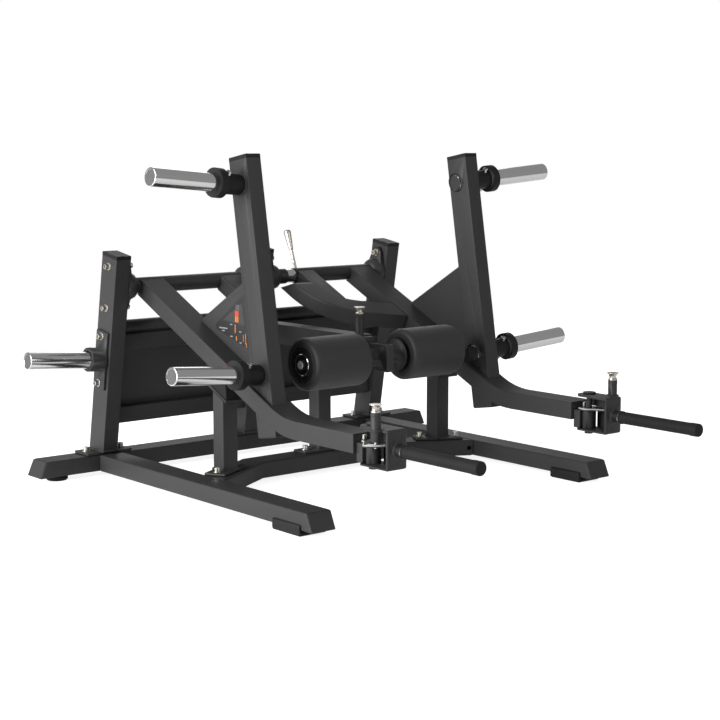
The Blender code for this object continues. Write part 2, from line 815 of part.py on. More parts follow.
def rollers(axes):
    made = []
    inner, outer = ROLLER_X
    length = outer - inner
    bore = AXLE_RADIUS + GAP
    round_out = [
        (ROLLER_RADIUS - ROLLER_EDGE * (1 - math.sin(a)), ROLLER_EDGE * (1 - math.cos(a)))
        for a in (math.radians(22.5 * i) for i in range(5))
    ]
    recess = [(bore, ROLLER_RECESS), (0.050, ROLLER_RECESS), (0.052, 0)]
    half = recess + round_out
    profile = half + [(r, length - h) for r, h in half[::-1]]
    for (side, sign), axis in zip(SIDES, axes):
        start = (sign * inner, ROLLER_Y, ROLLER_Z)
        roller = turned(f"{side}_roller", profile, start, (sign, 0, 0), ROLLER_SIDES)
        made.append(part(roller, "rubber", axis))
    return made


def slide_pin(axis):
    top = SLEEVE_BOTTOM_Z + SLEEVE_SIZE + 0.050
    into_tube = 0.050 + (SLEEVE_SIZE - CARRIAGE_SIZE) / 2 + WALL + GAP
    seat = (0, SLIDE_PIN_Y, top + GAP)
    pin = turned("slide_pull_pin", knob_profile(into_tube), seat, (0, 0, 1), SMALL_SIDES)
    return part(pin, "steel", axis)


# Pivot line
def bearing(name, x, sign, depth, bore_radius):
    """Two-bolt flange bearing: an oval plate along the upright and a turned housing."""
    lean = math.degrees(UPRIGHT_LEAN)
    along = Vector((-math.sin(UPRIGHT_LEAN), math.cos(UPRIGHT_LEAN)))
    ear, body, thick = 0.018, 0.040, 0.014
    centre = Vector((PIVOT.y, PIVOT.z))
    ends = [centre + along * s * BEARING_BOLT_SPACING / 2 for s in (1, -1)]
    spread = 55
    outline = arc(ends[0], ear, lean + 20, lean + 160, 4)
    outline += arc(centre, body, lean + 180 - spread / 2, lean + 180 + spread / 2, 2)
    outline += arc(ends[1], ear, lean + 200, lean + 340, 4)
    outline += arc(centre, body, lean - spread / 2, lean + spread / 2, 2)
    plate = prism(name, outline, thick, side_frame(x + sign * thick / 2))
    profile = [
        (0, 0.002),
        (0.0425, 0.002),
        (0.0425, depth * 0.45),
        (0.037, depth * 0.80),
        (0.026, depth),
        (0, depth),
    ]
    housing = turned(f"{name}_housing", profile, (x, PIVOT.y, PIVOT.z), (sign, 0, 0), ROUND_SIDES)
    start = Vector((x - sign * 0.01, PIVOT.y, PIVOT.z))
    hole = cylinder(f"{name}_bore", bore_radius, start, start + Vector((sign * (depth + 0.03), 0, 0)))
    return part(cut(join(plate, housing), hole), "powder")


def bearings():
    inner_face = UPRIGHT_X - POST_WIDTH / 2 - GAP
    centre_face = POST_WIDTH / 2 + GAP
    bore = SHAFT_RADIUS + GAP
    made = []
    for side, sign in SIDES:
        made.append(bearing(f"{side}_outer_bearing", sign * inner_face, -sign, BEARING_DEPTH, bore))
        made.append(bearing(f"{side}_centre_bearing", sign * centre_face, sign, CENTRE_BEARING_DEPTH, bore))
    return made


def tube_end_x():
    return UPRIGHT_X - POST_WIDTH / 2 - GAP - BEARING_DEPTH - GAP


def shaft_end_x():
    return UPRIGHT_X - POST_WIDTH / 2 - 0.004


def pivot_shaft(axis):
    """Shaft of the left lever. Its hub and spigot carry the right lever's tube."""
    end, hub, socket = shaft_end_x(), HUB_X, COUPLING_RADIUS + GAP
    profile = [
        (0, -end),
        (SHAFT_RADIUS, -end),
        (SHAFT_RADIUS, hub[0]),
        (TUBE_RADIUS, hub[0]),
        (TUBE_RADIUS, hub[1]),
        (socket, hub[1]),
        (socket, hub[1] - SOCKET_DEPTH),
        (SHAFT_RADIUS, hub[1] - SOCKET_DEPTH),
        (SHAFT_RADIUS, SPIGOT_END_X),
        (0, SPIGOT_END_X),
    ]
    return part(turned("pivot_shaft", profile, PIVOT, (1, 0, 0), LARGE_SIDES), "powder", axis)


def pivot_tubes(left_axis, right_axis):
    inner = POST_WIDTH / 2 + GAP + CENTRE_BEARING_DEPTH + 2 * GAP
    end, bore = tube_end_x(), SHAFT_RADIUS + GAP
    left = turned(
        "left_pivot_tube",
        [(bore, -end), (TUBE_RADIUS, -end), (TUBE_RADIUS, -inner), (bore, -inner)],
        PIVOT,
        (1, 0, 0),
        LARGE_SIDES,
    )
    cavity, depth = COUPLING_RADIUS + GAP, SPIGOT_END_X + 0.004
    right = turned(
        "right_pivot_tube",
        [
            (0, depth),
            (cavity, depth),
            (cavity, RIGHT_TUBE_X),
            (TUBE_RADIUS, RIGHT_TUBE_X),
            (TUBE_RADIUS, end),
            (SHAFT_RADIUS, end),
            (SHAFT_RADIUS, shaft_end_x()),
            (0, shaft_end_x()),
        ],
        PIVOT,
        (1, 0, 0),
        LARGE_SIDES,
    )
    up = handle_direction()
    slot_half = COUPLING_ROD_RADIUS + 0.0015
    slot_x = (COUPLING_HANDLE_X, COUPLING_HANDLE_X + COUPLING_STROKE)
    frame = basis(PIVOT + up * TUBE_RADIUS, Vector((1, 0, 0)), Vector((1, 0, 0)).cross(up) * -1)
    outline = arc((slot_x[0], 0), slot_half, 90, 270, 6) + arc((slot_x[1], 0), slot_half, -90, 90, 6)
    slot = prism("coupling_slot", outline, 0.012, frame)
    return [part(left, "powder", left_axis), part(cut(right, slot), "powder", right_axis)]


def handle_direction():
    return Vector((0, math.sin(COUPLING_HANDLE_LEAN), math.cos(COUPLING_HANDLE_LEAN)))


def coupling(axis):
    low, high = COUPLING_X
    bore = SHAFT_RADIUS + GAP
    sleeve = turned(
        "coupling_sleeve",
        [(bore, low), (COUPLING_RADIUS, low), (COUPLING_RADIUS, high), (bore, high)],
        PIVOT,
        (1, 0, 0),
        LARGE_SIDES,
    )
    foot = COUPLING_RADIUS + GAP
    rod = COUPLING_ROD_RADIUS
    profile = [
        (0, foot),
        (rod, foot),
        (rod, foot + 0.064),
        (0.0070, foot + 0.066),
        (0.0115, foot + 0.124),
        (0.0100, foot + 0.129),
        (0, foot + 0.130),
    ]
    place = PIVOT + Vector((COUPLING_HANDLE_X, 0, 0))
    handle = turned("coupling_handle", profile, place, handle_direction(), SMALL_SIDES)
    return [part(sleeve, "chrome", axis), part(handle, "steel", axis)]


def spigot_bush(axis):
    end = SPIGOT_END_X - 0.002
    start, outer, bore = end - BUSH_LENGTH, COUPLING_RADIUS, SHAFT_RADIUS + GAP
    ring = [(bore, start), (outer, start), (outer, end), (bore, end)]
    bush = turned("spigot_bush", ring, PIVOT, (1, 0, 0), LARGE_SIDES)
    return part(bush, "bronze", axis)


# Levers
def lever_path(start, end):
    corner = (LEVER_BEND_Y, lever_z(LEVER_BEND_Y))
    forward = Vector((-math.cos(LEVER_SLOPE), -math.sin(LEVER_SLOPE)))
    first = Vector((PIVOT.y, PIVOT.z)) + forward * start
    return bent_path(first, corner, (end, corner[1]), LEVER_BEND_RADIUS)


def lever_arm(side, sign, axis):
    x = sign * LEVER_X
    front = SWIVEL_Y + INDEX_RADIUS + 0.001
    lever = prism(
        f"{side}_lever_arm",
        strip(lever_path(LEVER_START, front), LEVER_DEPTH / 2),
        LEVER_WIDTH,
        side_frame(x),
    )
    soften(lever, angle=60)
    inside = prism(
        f"{side}_lever_cavity",
        strip(lever_path(-0.01, front + CAP), LEVER_DEPTH / 2 - LEVER_WALL),
        LEVER_WIDTH - 2 * LEVER_WALL,
        side_frame(x),
    )
    cope_ends = [PIVOT + Vector((x + end, 0, 0)) for end in (-0.1, 0.1)]
    cope = cylinder(f"{side}_lever_cope", TUBE_RADIUS + GAP, *cope_ends, LARGE_SIDES)
    arm_slot = arm_bar(f"{side}_arm_slot", sign, GAP, 0.01)
    barrel = cylinder(
        f"{side}_barrel", BARREL_RADIUS, (x, SWIVEL_Y, BARREL_Z[0]), (x, SWIVEL_Y, BARREL_Z[1]), LARGE_SIDES
    )
    neck = box(
        f"{side}_barrel_neck",
        (x - 0.016, SWIVEL_Y, BARREL_Z[0] + 0.026),
        (x + 0.016, front + 0.004, BARREL_Z[1] - 0.004),
    )
    bore = cylinder(
        f"{side}_barrel_bore",
        BOLT_RADIUS + GAP,
        (x, SWIVEL_Y, BARREL_Z[0] - 0.01),
        (x, SWIVEL_Y, BARREL_Z[1] + 0.01),
        SMALL_SIDES,
    )
    cut(lever, inside, cope, arm_slot)
    return part(cut(join(lever, barrel, neck), bore), "powder", axis)


def arm_direction():
    return Vector((math.sin(ARM_LEAN), math.cos(ARM_LEAN)))


def arm_bar(name, sign, grow=0.0, longer=0.0):
    along = arm_direction()
    centre = Vector(ARM_FOOT) + along * ARM_LENGTH / 2
    return lean_box(
        name,
        centre,
        along,
        ARM_LENGTH / 2 + longer,
        ARM_DEPTH / 2 + grow,
        sign * ARM_X,
        ARM_WIDTH + 2 * grow,
    )


def peg_line(which, sign):
    """A point on the peg's axis at the arm's middle, and its outward direction."""
    along = arm_direction()
    spot = Vector(ARM_FOOT) + along * PEG_HEIGHTS[which] + Vector((along.y, -along.x)) * PEG_SETBACK
    direction = Vector((sign, PEG_SWEEP, PEG_RISE)).normalized()
    return Vector((sign * ARM_X, spot.x, spot.y)), direction


def along_peg(which, sign, x):
    """The point of the peg's axis that lies at a distance from the machine's middle."""
    point, direction = peg_line(which, sign)
    return point + direction * ((x - ARM_X) / abs(direction.x))


def weight_arm(side, sign, axis):
    arm = arm_bar(f"{side}_weight_arm", sign)
    soften(arm, angle=60)
    along = arm_direction()
    inside = lean_box(
        f"{side}_arm_cavity",
        Vector(ARM_FOOT) + along * (ARM_LENGTH / 2 - CAP),
        along,
        ARM_LENGTH / 2,
        ARM_DEPTH / 2 - WALL,
        sign * ARM_X,
        ARM_WIDTH - 2 * WALL,
    )
    cut(arm, inside)
    for which in PEG_HEIGHTS:
        ends = [along_peg(which, sign, x) for x in (HUB_INNER_X, COLLAR_X[0] + 0.002)]
        hub = cylinder(f"{side}_{which}_hub", HUB_RADIUS, *ends)
        collar_ends = [along_peg(which, sign, x) for x in COLLAR_X]
        collar = cylinder(f"{side}_{which}_collar", COLLAR_RADIUS, *collar_ends, LARGE_SIDES)
        bore_ends = [along_peg(which, sign, x) for x in (HUB_INNER_X - 0.01, COLLAR_X[1] + 0.01)]
        bore = cylinder(f"{side}_{which}_hub_bore", PEG_RADIUS + GAP, *bore_ends, LARGE_SIDES)
        cut(join(arm, hub, collar), bore)
    return part(arm, "powder", axis)


def weight_pegs(side, sign, axis):
    made = []
    for which in PEG_HEIGHTS:
        start = along_peg(which, sign, HUB_INNER_X)
        end = along_peg(which, sign, PEG_END_X)
        made.append(part(peg(f"{side}_{which}_weight_peg", start, end), "chrome", axis))
    return made


def peg(name, start, end):
    length = (end - start).length
    edge = 0.002
    profile = [
        (0, 0),
        (PEG_RADIUS, 0),
        (PEG_RADIUS, length - edge),
        (PEG_RADIUS - edge, length),
        (0, length),
    ]
    return turned(name, profile, start, end - start, LARGE_SIDES)


def gusset(side, sign, axis):
    """Web plate on the arm's +X face. It stands on the lever and laps the arm."""
    along = arm_direction()
    face = LEVER_DEPTH / 2 + GAP
    foot_y = PIVOT.y - 0.2485
    chamfer = 0.010

    def arm_y(z, offset):
        return ARM_FOOT[0] + (z - ARM_FOOT[1]) * math.tan(ARM_LEAN) + offset / along.y

    lapped = ARM_DEPTH / 2 - GUSSET_LAP
    low_y = meet_lever(lambda z: arm_y(z, lapped), face)
    top_back = arm_y(GUSSET_TOP_Z, ARM_DEPTH / 2)
    outline = [
        (foot_y, lever_z(foot_y, face)),
        (foot_y, lever_z(foot_y, face) + chamfer / 2),
        (top_back + chamfer / 2, GUSSET_TOP_Z - chamfer / 2),
        (top_back, GUSSET_TOP_Z),
        (arm_y(GUSSET_TOP_Z, lapped), GUSSET_TOP_Z),
        (low_y, lever_z(low_y, face)),
    ]
    x = sign * ARM_X + ARM_WIDTH / 2 + GAP + GUSSET_THICKNESS / 2
    plate = prism(f"{side}_gusset", outline, GUSSET_THICKNESS, side_frame(x))
    notch_ends = [along_peg("lower", sign, end) for end in (HUB_INNER_X - 0.02, COLLAR_X[0])]
    notch = cylinder(f"{side}_gusset_notch", HUB_RADIUS + GAP, *notch_ends, LARGE_SIDES)
    return part(cut(plate, notch), "powder", axis)


def meet_lever(line, face):
    """Where a leaning line, given as its y for a height, reaches the lever's face."""
    y = line(lever_z(0, face))
    for _ in range(40):
        y = line(lever_z(y, face))
    return y


def yoke_path(start_y):
    """Centre line on the levers' slope: ahead from the tube, then round to the lever's inner side."""
    centre = (YOKE_X + YOKE_RADIUS, YOKE_STRAIGHT)
    points = [Vector((YOKE_X, start_y))]
    headings = [Vector((0, 1))]
    steps = 7
    for i in range(steps + 1):
        angle = YOKE_TURN * i / steps
        spoke = YOKE_RADIUS * Vector((-math.cos(angle), math.sin(angle)))
        points.append(Vector(centre) + spoke)
        headings.append(Vector((math.sin(angle), math.cos(angle))))
    return points, headings


def yoke(side, sign, axis):
    end_x = LEVER_X - LEVER_WIDTH / 2 - GAP

    def outline(half, start_y, extra):
        points, headings = yoke_path(start_y)
        left = [p + Vector((-h.y, h.x)) * half for p, h in zip(points, headings)]
        right = [p - Vector((-h.y, h.x)) * half for p, h in zip(points, headings)]
        for row in (left, right):
            heading = headings[-1]
            reach = (end_x + extra - row[-1].x) / heading.x
            row.append(row[-1] + heading * reach)
        return [(sign * p.x, p.y) for p in left + right[::-1]]

    start = 0.012
    bar = prism(f"{side}_yoke", outline(LEVER_WIDTH / 2, start, 0), LEVER_DEPTH, slope_frame())
    soften(bar, angle=60)
    inner = LEVER_WIDTH / 2 - LEVER_WALL
    inside = prism(
        f"{side}_yoke_cavity",
        outline(inner, start + 0.080, 0.01),
        LEVER_DEPTH - 2 * LEVER_WALL,
        slope_frame(),
    )
    cut(bar, inside)
    if side == "right":
        web_x = (RIGHT_TUBE_X + 0.003, 0.205)
        web_outline = rectangle((web_x[0], start), (web_x[1], 0.195))
        web = prism("yoke_web", web_outline, LEVER_DEPTH - 0.002, slope_frame())
        join(bar, web)
        y, z = PIVOT.y, PIVOT.z
        relief = [
            (y - 0.125, z - 0.006),
            (y + 0.025, z - 0.045),
            (y + 0.025, z + 0.10),
            (y - 0.125, z + 0.10),
        ]
        width = web_x[0] - 0.060
        cut(bar, prism("hub_relief", relief, width, side_frame(web_x[0] - width / 2)))
    cope = cylinder(
        f"{side}_yoke_cope",
        TUBE_RADIUS + GAP,
        PIVOT + Vector((sign * 0.05, 0, 0)),
        PIVOT + Vector((sign * 0.30, 0, 0)),
        LARGE_SIDES,
    )
    return part(cut(bar, cope), "powder", axis)


# Swivel handles
def plunger_place(sign):
    return Vector((sign * (LEVER_X + PLUNGER_OFFSET[0]), SWIVEL_Y + PLUNGER_OFFSET[1]))


def index_plate(side, sign, axis):
    """Plate on the barrel with a curved slot that the plunger runs in."""
    reach = Vector(PLUNGER_OFFSET).length
    heading = math.degrees(math.atan2(PLUNGER_OFFSET[1], sign * PLUNGER_OFFSET[0]))
    centre = (sign * LEVER_X, SWIVEL_Y)
    half = math.degrees(SWIVEL_HALF_RANGE)
    rim = reach + 0.012
    outline = arc(centre, INDEX_RADIUS, heading + 62, heading + 298, 10)
    outline += arc(centre, rim, heading - 26, heading + 26, 5)
    width = PLUNGER_RADIUS + 2 * GAP
    tips = arc(centre, reach, heading - half, heading + half, 1)
    slot = arc(centre, reach + width, heading - half, heading + half, 5)
    slot += arc(tips[1], width, heading + half + 30, heading + half + 150, 3)
    slot += arc(centre, reach - width, heading + half, heading - half, 5)
    slot += arc(tips[0], width, heading - half + 210, heading - half + 330, 3)
    hole = arc(centre, BOLT_RADIUS + GAP, 0, 337.5, 15)
    middle = BARREL_Z[1] + GAP + INDEX_THICKNESS / 2
    plate = prism(f"{side}_index_plate", [outline, slot, hole], INDEX_THICKNESS, plan_frame(middle))
    return part(plate, "steel", axis)


def swivel_bracket(side, sign, axis):
    """Bent plate that hugs the barrel. It carries the handle bar and the plunger's guide."""
    x = sign * LEVER_X
    low, high = BRACKET_Z
    back = SWIVEL_Y + BRACKET_WIDTH / 2
    shell = prism(
        f"{side}_swivel_bracket",
        rectangle((BRACKET_FRONT_Y, low), (back, high)),
        BRACKET_WIDTH,
        side_frame(x),
    )
    soften(shell, 0.006, 2, 60)
    hollow = box(
        f"{side}_bracket_hollow",
        (x - 0.05, BRACKET_FRONT_Y + BRACKET_WALL, low + BRACKET_WALL),
        (x + 0.05, back + 0.05, high - BRACKET_WALL),
    )
    spot = plunger_place(sign)
    ear_ends = [spot.to_3d() + Vector((0, 0, z)) for z in (high - BRACKET_WALL, high - 0.0005)]
    ear = cylinder(f"{side}_plunger_ear", 0.018, *ear_ends, SMALL_SIDES)
    guide_ends = [spot.to_3d() + Vector((0, 0, z)) for z in HOUSING_Z]
    guide = cylinder(f"{side}_plunger_guide", HOUSING_RADIUS, *guide_ends, SMALL_SIDES)
    bore = cylinder(
        f"{side}_plunger_bore",
        PLUNGER_RADIUS + GAP,
        (spot.x, spot.y, HOUSING_Z[0] - 0.01),
        (spot.x, spot.y, HOUSING_Z[1] + 0.01),
        SMALL_SIDES,
    )
    bar_start = BRACKET_FRONT_Y + 0.001
    bar_end = GRIP_END_Y + 0.012
    bar = turned(
        f"{side}_handle_bar",
        [
            (0, 0),
            (0.020, 0),
            (0.020, 0.006),
            (0.014, 0.006),
            (0.014, 0.033),
            (BAR_RADIUS, 0.033),
            (BAR_RADIUS, bar_start - bar_end),
            (0, bar_start - bar_end),
        ],
        (x, bar_start, BAR_Z),
        (0, -1, 0),
        24,
    )
    bolt_hole = cylinder(
        f"{side}_bracket_bore", BOLT_RADIUS + GAP, (x, SWIVEL_Y, low - 0.01), (x, SWIVEL_Y, high + 0.01), 20
    )
    corners = []
    for sx in (-1, 1):
        edge = x + sx * BRACKET_WIDTH / 2
        corner = [(edge, back + 0.001), (edge - sx * 0.022, back + 0.001), (edge, back - 0.022)]
        corner = [(px + (sx * 0.001 if px == edge else 0), py) for px, py in corner]
        corners.append(prism(f"{side}_bracket_corner_{len(corners)}", corner, 0.2, plan_frame(BAR_Z)))
    cut(shell, hollow, *corners)
    return part(cut(join(shell, ear, guide, bar), bore, bolt_hole), "powder", axis)


def swivel_bolt(side, sign, axis):
    low, high = BRACKET_Z[0] - GAP, BRACKET_Z[1] + GAP
    profile = [
        (0, low - 0.009),
        (0.012, low - 0.009),
        (0.012, low),
        (BOLT_RADIUS, low),
        (BOLT_RADIUS, high),
        (0.018, high),
        (0.018, high + 0.005),
        (0, high + 0.008),
    ]
    bolt = turned(f"{side}_swivel_bolt", profile, (sign * LEVER_X, SWIVEL_Y, 0), (0, 0, 1))
    return part(bolt, "steel", axis)


def pull_pin(side, sign, axis):
    spot = plunger_place(sign)
    length = HOUSING_Z[1] + GAP - (BARREL_Z[1] - 0.004)
    seat = (spot.x, spot.y, HOUSING_Z[1] + GAP)
    pin = turned(f"{side}_pull_pin", knob_profile(length), seat, (0, 0, 1), SMALL_SIDES)
    return part(pin, "steel", axis)


def grip(side, sign, axis):
    length = GRIP_START_Y - GRIP_END_Y
    bore_end = length - 0.010
    ridge = GRIP_RADIUS + 0.0010
    profile = [
        (0, bore_end),
        (BAR_RADIUS + GAP, bore_end),
        (BAR_RADIUS + GAP, 0),
        (GRIP_RADIUS, 0),
        (GRIP_RADIUS, length - 0.027),
        (ridge, length - 0.027),
        (ridge, length - 0.002),
        (ridge - 0.002, length),
        (0, length),
    ]
    handle = turned(f"{side}_grip", profile, (sign * LEVER_X, GRIP_START_Y, BAR_Z), (0, -1, 0))
    return part(handle, "rubber", axis)


# Storage pegs
def storage(side, sign):
    face = sign * (UPRIGHT_X + POST_WIDTH / 2 + GAP)
    lean = Vector((-math.sin(UPRIGHT_LEAN), math.cos(UPRIGHT_LEAN)))
    centre = Vector((upright_y(STORAGE_Z), STORAGE_Z))
    plate = lean_box(
        f"{side}_storage_bracket", centre, lean, 0.088, 0.030, face + sign * PLATE / 2, PLATE
    )
    soften(plate, 0.002, 1)
    start = Vector((face + sign * PLATE / 2, centre.x, centre.y))
    direction = Vector((sign * math.cos(STORAGE_RISE), 0, math.sin(STORAGE_RISE)))
    radius, length = STORAGE_COLLAR
    reach = PLATE / 2 + length
    collar = cylinder(f"{side}_storage_collar", radius, start, start + direction * reach, LARGE_SIDES)
    mouth = start + direction * (PLATE / 2 + 0.004)
    bore = cylinder(f"{side}_storage_bore", PEG_RADIUS + GAP, mouth, mouth + direction * 0.08, LARGE_SIDES)
    bracket = part(cut(join(plate, collar), bore), "powder")
    length = (STORAGE_END_X - abs(mouth.x)) / math.cos(STORAGE_RISE)
    first = mouth + direction * GAP
    bar = peg(f"{side}_storage_peg", first, first + direction * length)
    return [bracket, part(bar, "chrome")]


def build():
    rear_crossbeam()
    mid_crossbeam()
    for side, sign in SIDES:
        side_rail(side, sign)
        storage(side, sign)
    uprights()
    cross_rails()
    rubber_feet()
    front_posts()
    centre_post()
    slide_sleeve()
    bearings()

    lever_axes = {
        side: axis_empty(f"{side}_lever_axis", PIVOT + Vector((sign * LEVER_X, 0, 0)))
        for side, sign in SIDES
    }
    pivot_shaft(lever_axes["left"])
    pivot_tubes(lever_axes["left"], lever_axes["right"])
    spigot_bush(lever_axes["right"])
    coupling(axis_empty("coupling_axis", PIVOT + Vector((COUPLING_HANDLE_X, 0, 0))))
    for side, sign in SIDES:
        axis = lever_axes[side]
        lever_arm(side, sign, axis)
        weight_arm(side, sign, axis)
        weight_pegs(side, sign, axis)
        gusset(side, sign, axis)
        yoke(side, sign, axis)
        index_plate(side, sign, axis)
        swivel = axis_empty(f"{side}_swivel_axis", (sign * LEVER_X, SWIVEL_Y, BAR_Z))
        swivel_bracket(side, sign, swivel)
        swivel_bolt(side, sign, swivel)
        grip(side, sign, swivel)
        spot = plunger_place(sign)
        pull_pin(side, sign, axis_empty(f"{side}_plunger_axis", (spot.x, spot.y, HOUSING_Z[1])))

    slide = axis_empty("slide_axis", (0, SLEEVE_FRONT_Y, SLEEVE_BOTTOM_Z + SLEEVE_SIZE / 2))
    roller_carriage(slide)
    rollers(
        [axis_empty(f"{side}_roller_axis", (sign * ROLLER_X[0], ROLLER_Y, ROLLER_Z)) for side, sign in SIDES]
    )
    slide_pin(axis_empty("slide_pin_axis", (0, SLIDE_PIN_Y, SLEEVE_BOTTOM_Z + SLEEVE_SIZE)))


build()
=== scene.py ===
# %% [markdown]
# A plate-loaded deadlift machine stands on four feet. Two levers turn about one shaft at the back, and
# the user lifts them by two swivelling handles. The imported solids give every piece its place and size.
# This lesson finishes them: smooth faces, powder coat, chrome, foam, and the small fasteners and welds
# that the solids leave out.

# %% The frame and its helpers
import json
import math

import bmesh
import bpy
from mathutils import Matrix, Vector


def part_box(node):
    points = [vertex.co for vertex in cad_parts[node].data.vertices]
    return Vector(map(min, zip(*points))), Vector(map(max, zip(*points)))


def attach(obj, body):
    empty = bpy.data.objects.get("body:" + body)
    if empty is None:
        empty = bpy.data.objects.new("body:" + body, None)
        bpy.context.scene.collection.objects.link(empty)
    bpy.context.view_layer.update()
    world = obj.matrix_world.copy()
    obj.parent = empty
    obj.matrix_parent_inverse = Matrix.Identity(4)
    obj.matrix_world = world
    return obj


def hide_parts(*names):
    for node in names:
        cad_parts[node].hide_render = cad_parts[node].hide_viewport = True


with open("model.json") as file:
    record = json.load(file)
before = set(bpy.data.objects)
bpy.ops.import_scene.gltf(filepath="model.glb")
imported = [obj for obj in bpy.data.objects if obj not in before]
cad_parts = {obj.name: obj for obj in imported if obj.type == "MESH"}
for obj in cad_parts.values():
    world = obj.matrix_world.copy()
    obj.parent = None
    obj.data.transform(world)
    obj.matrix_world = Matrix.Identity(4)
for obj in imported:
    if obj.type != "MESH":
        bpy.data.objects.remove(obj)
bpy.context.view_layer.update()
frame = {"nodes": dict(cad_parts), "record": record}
SIDES = (("left", -1), ("right", 1))
BODY_OF = {node: body for body, nodes in frame["record"]["behaviour"]["bodies"].items() for node in nodes}
SLOT_OF = {entry["node"]: entry["material_slot"] for entry in frame["record"]["subparts"]}
X_AXIS, Y_AXIS, Z_AXIS = Vector((1, 0, 0)), Vector((0, 1, 0)), Vector((0, 0, 1))

# %% [markdown]
# The camera stands where the photographer stood: low, in front of the left handle, about four and a
# half metres away. A long lens keeps the upright lines nearly parallel. It comes first.

# %% Camera
camera = bpy.data.objects.new("camera", bpy.data.cameras.new("camera"))
camera.data.lens = 79.8
camera.data.sensor_width = 36
camera.location = (-2.9704, -3.4205, 0.9741)
camera.rotation_euler = (math.radians(82.48), 0, math.radians(-39.773))
bpy.context.scene.collection.objects.link(camera)
bpy.context.scene.camera = camera

# %% [markdown]
# Materials are written as short sums. A small class wraps one output socket, so that noise * 0.3 adds
# the Math node for that product. The reflected forms let 1 - mask work as well. Any other node comes
# from one method that first sets its options and then its inputs.


# %% Shader sums
class Sum:
    """One value in a material, on which Python's operators add Math nodes."""

    def __init__(self, surface, socket):
        self.surface = surface
        self.socket = socket

    def math(self, operation, first, second):
        return self.surface.node("ShaderNodeMath", {"operation": operation}, {0: first, 1: second})

    def __add__(self, other):
        return self.math("ADD", self, other)

    def __sub__(self, other):
        return self.math("SUBTRACT", self, other)

    def __rsub__(self, other):
        return self.math("SUBTRACT", other, self)

    def __mul__(self, other):
        return self.math("MULTIPLY", self, other)

    def power(self, other):
        return self.math("POWER", self, other)

    __radd__ = __add__
    __rmul__ = __mul__


MIX_FIRST, MIX_SECOND, MIX_COLOUR = 6, 7, 2  # the colour sockets of a Mix node, by number
EDGE_SAMPLES = 4


class Surface:
    """A material with one Principled shader, and short ways to add nodes to it."""

    def __init__(self, name, colour, roughness, metallic=0.0):
        self.material = bpy.data.materials.new(name)
        self.material.use_nodes = True
        self.tree = self.material.node_tree
        self.shader = self.tree.nodes["Principled BSDF"]
        self.colour = (*colour, 1)
        self.set("Base Color", self.colour)
        self.set("Roughness", roughness)
        self.set("Metallic", metallic)
        self.material.diffuse_color = self.colour

    def fill(self, socket, value):
        if isinstance(value, Sum):
            self.tree.links.new(value.socket, socket)
        else:
            socket.default_value = value

    def set(self, name, value):
        self.fill(self.shader.inputs[name], value)

    def node(self, kind, settings=None, inputs=None, output=0):
        made = self.tree.nodes.new(kind)
        for name, value in (settings or {}).items():
            setattr(made, name, value)
        for name, value in (inputs or {}).items():
            self.fill(made.inputs[name], value)
        return Sum(self, made.outputs[output])

    def place(self, stretch=(1, 1, 1)):
        """Object coordinates in metres, stretched along the axes."""
        where = self.node("ShaderNodeTexCoord", output="Object")
        return self.node("ShaderNodeMapping", inputs={"Vector": where, "Scale": stretch})

    def noise(self, scale, detail=2.0, stretch=(1, 1, 1)):
        values = {"Vector": self.place(stretch), "Scale": scale, "Detail": detail}
        return self.node("ShaderNodeTexNoise", inputs=values)

    def cells(self, scale, feature="F1"):
        """Distance from the middles of small random cells."""
        values = {"Vector": self.place(), "Scale": scale}
        return self.node("ShaderNodeTexVoronoi", {"feature": feature}, values)

    def tint(self, amount, first, second):
        """A colour between two others."""
        values = {"Factor": amount, MIX_FIRST: (*first, 1), MIX_SECOND: (*second, 1)}
        return self.node("ShaderNodeMix", {"data_type": "RGBA"}, values, output=MIX_COLOUR)

    def relief(self, height, depth, strength, edge=0.0):
        """Bump from a height of 0 to 1. An edge above 0 also rounds hard edges by that radius."""
        values = {"Height": height, "Distance": depth, "Strength": strength}
        if edge:
            values["Normal"] = self.node("ShaderNodeBevel", {"samples": EDGE_SAMPLES}, {"Radius": edge})
        self.set("Normal", self.node("ShaderNodeBump", inputs=values))


# %% [markdown]
# Black powder coat is baked plastic on steel. From a step away it is matt and even, and close up it has
# a fine orange peel. A cloudy noise moves the colour and the roughness a little, and a fine one makes the
# peel. The Bevel node rounds hard corners by a little over a millimetre, so that they catch the light.

# %% Powder coat
POWDER_BLACK = (0.033, 0.033, 0.0345)
POWDER_DUST = (0.043, 0.043, 0.044)
POWDER_SHINE = 0.3


def powder_coat():
    surface = Surface("powder_coat", POWDER_BLACK, 0.46)
    clouds = surface.noise(5.0, 3.0)
    peel = surface.noise(850.0, 2.0)
    surface.set("Base Color", surface.tint(clouds.power(2.0), POWDER_BLACK, POWDER_DUST))
    surface.set("Roughness", 0.40 + clouds * 0.12)
    surface.shader.inputs["Specular IOR Level"].default_value = POWDER_SHINE
    surface.relief(peel, 0.00025, 0.55, edge=0.0014)
    return surface


# %% [markdown]
# The weight pegs are chromed bars, turned before plating. The lathe leaves faint rings round them, so
# the noise is stretched until it only varies along the bar. The coupling's sleeve has the same finish.
# Bolts and pull knobs are zinc plated, which is warmer and softer than chrome. The bush on the shaft
# is bronze, with a grain that only moves its colour.

# %% Chrome, zinc and bronze


def chrome():
    surface = Surface("chrome", (0.74, 0.74, 0.735), 0.10, 1.0)
    rings = surface.noise(1400.0, 2.0, stretch=(1, 0.01, 0.01))
    smears = surface.noise(14.0, 4.0)
    surface.set("Roughness", 0.07 + rings * 0.05 + smears * 0.06)
    surface.relief(rings, 0.00002, 0.25)
    return surface


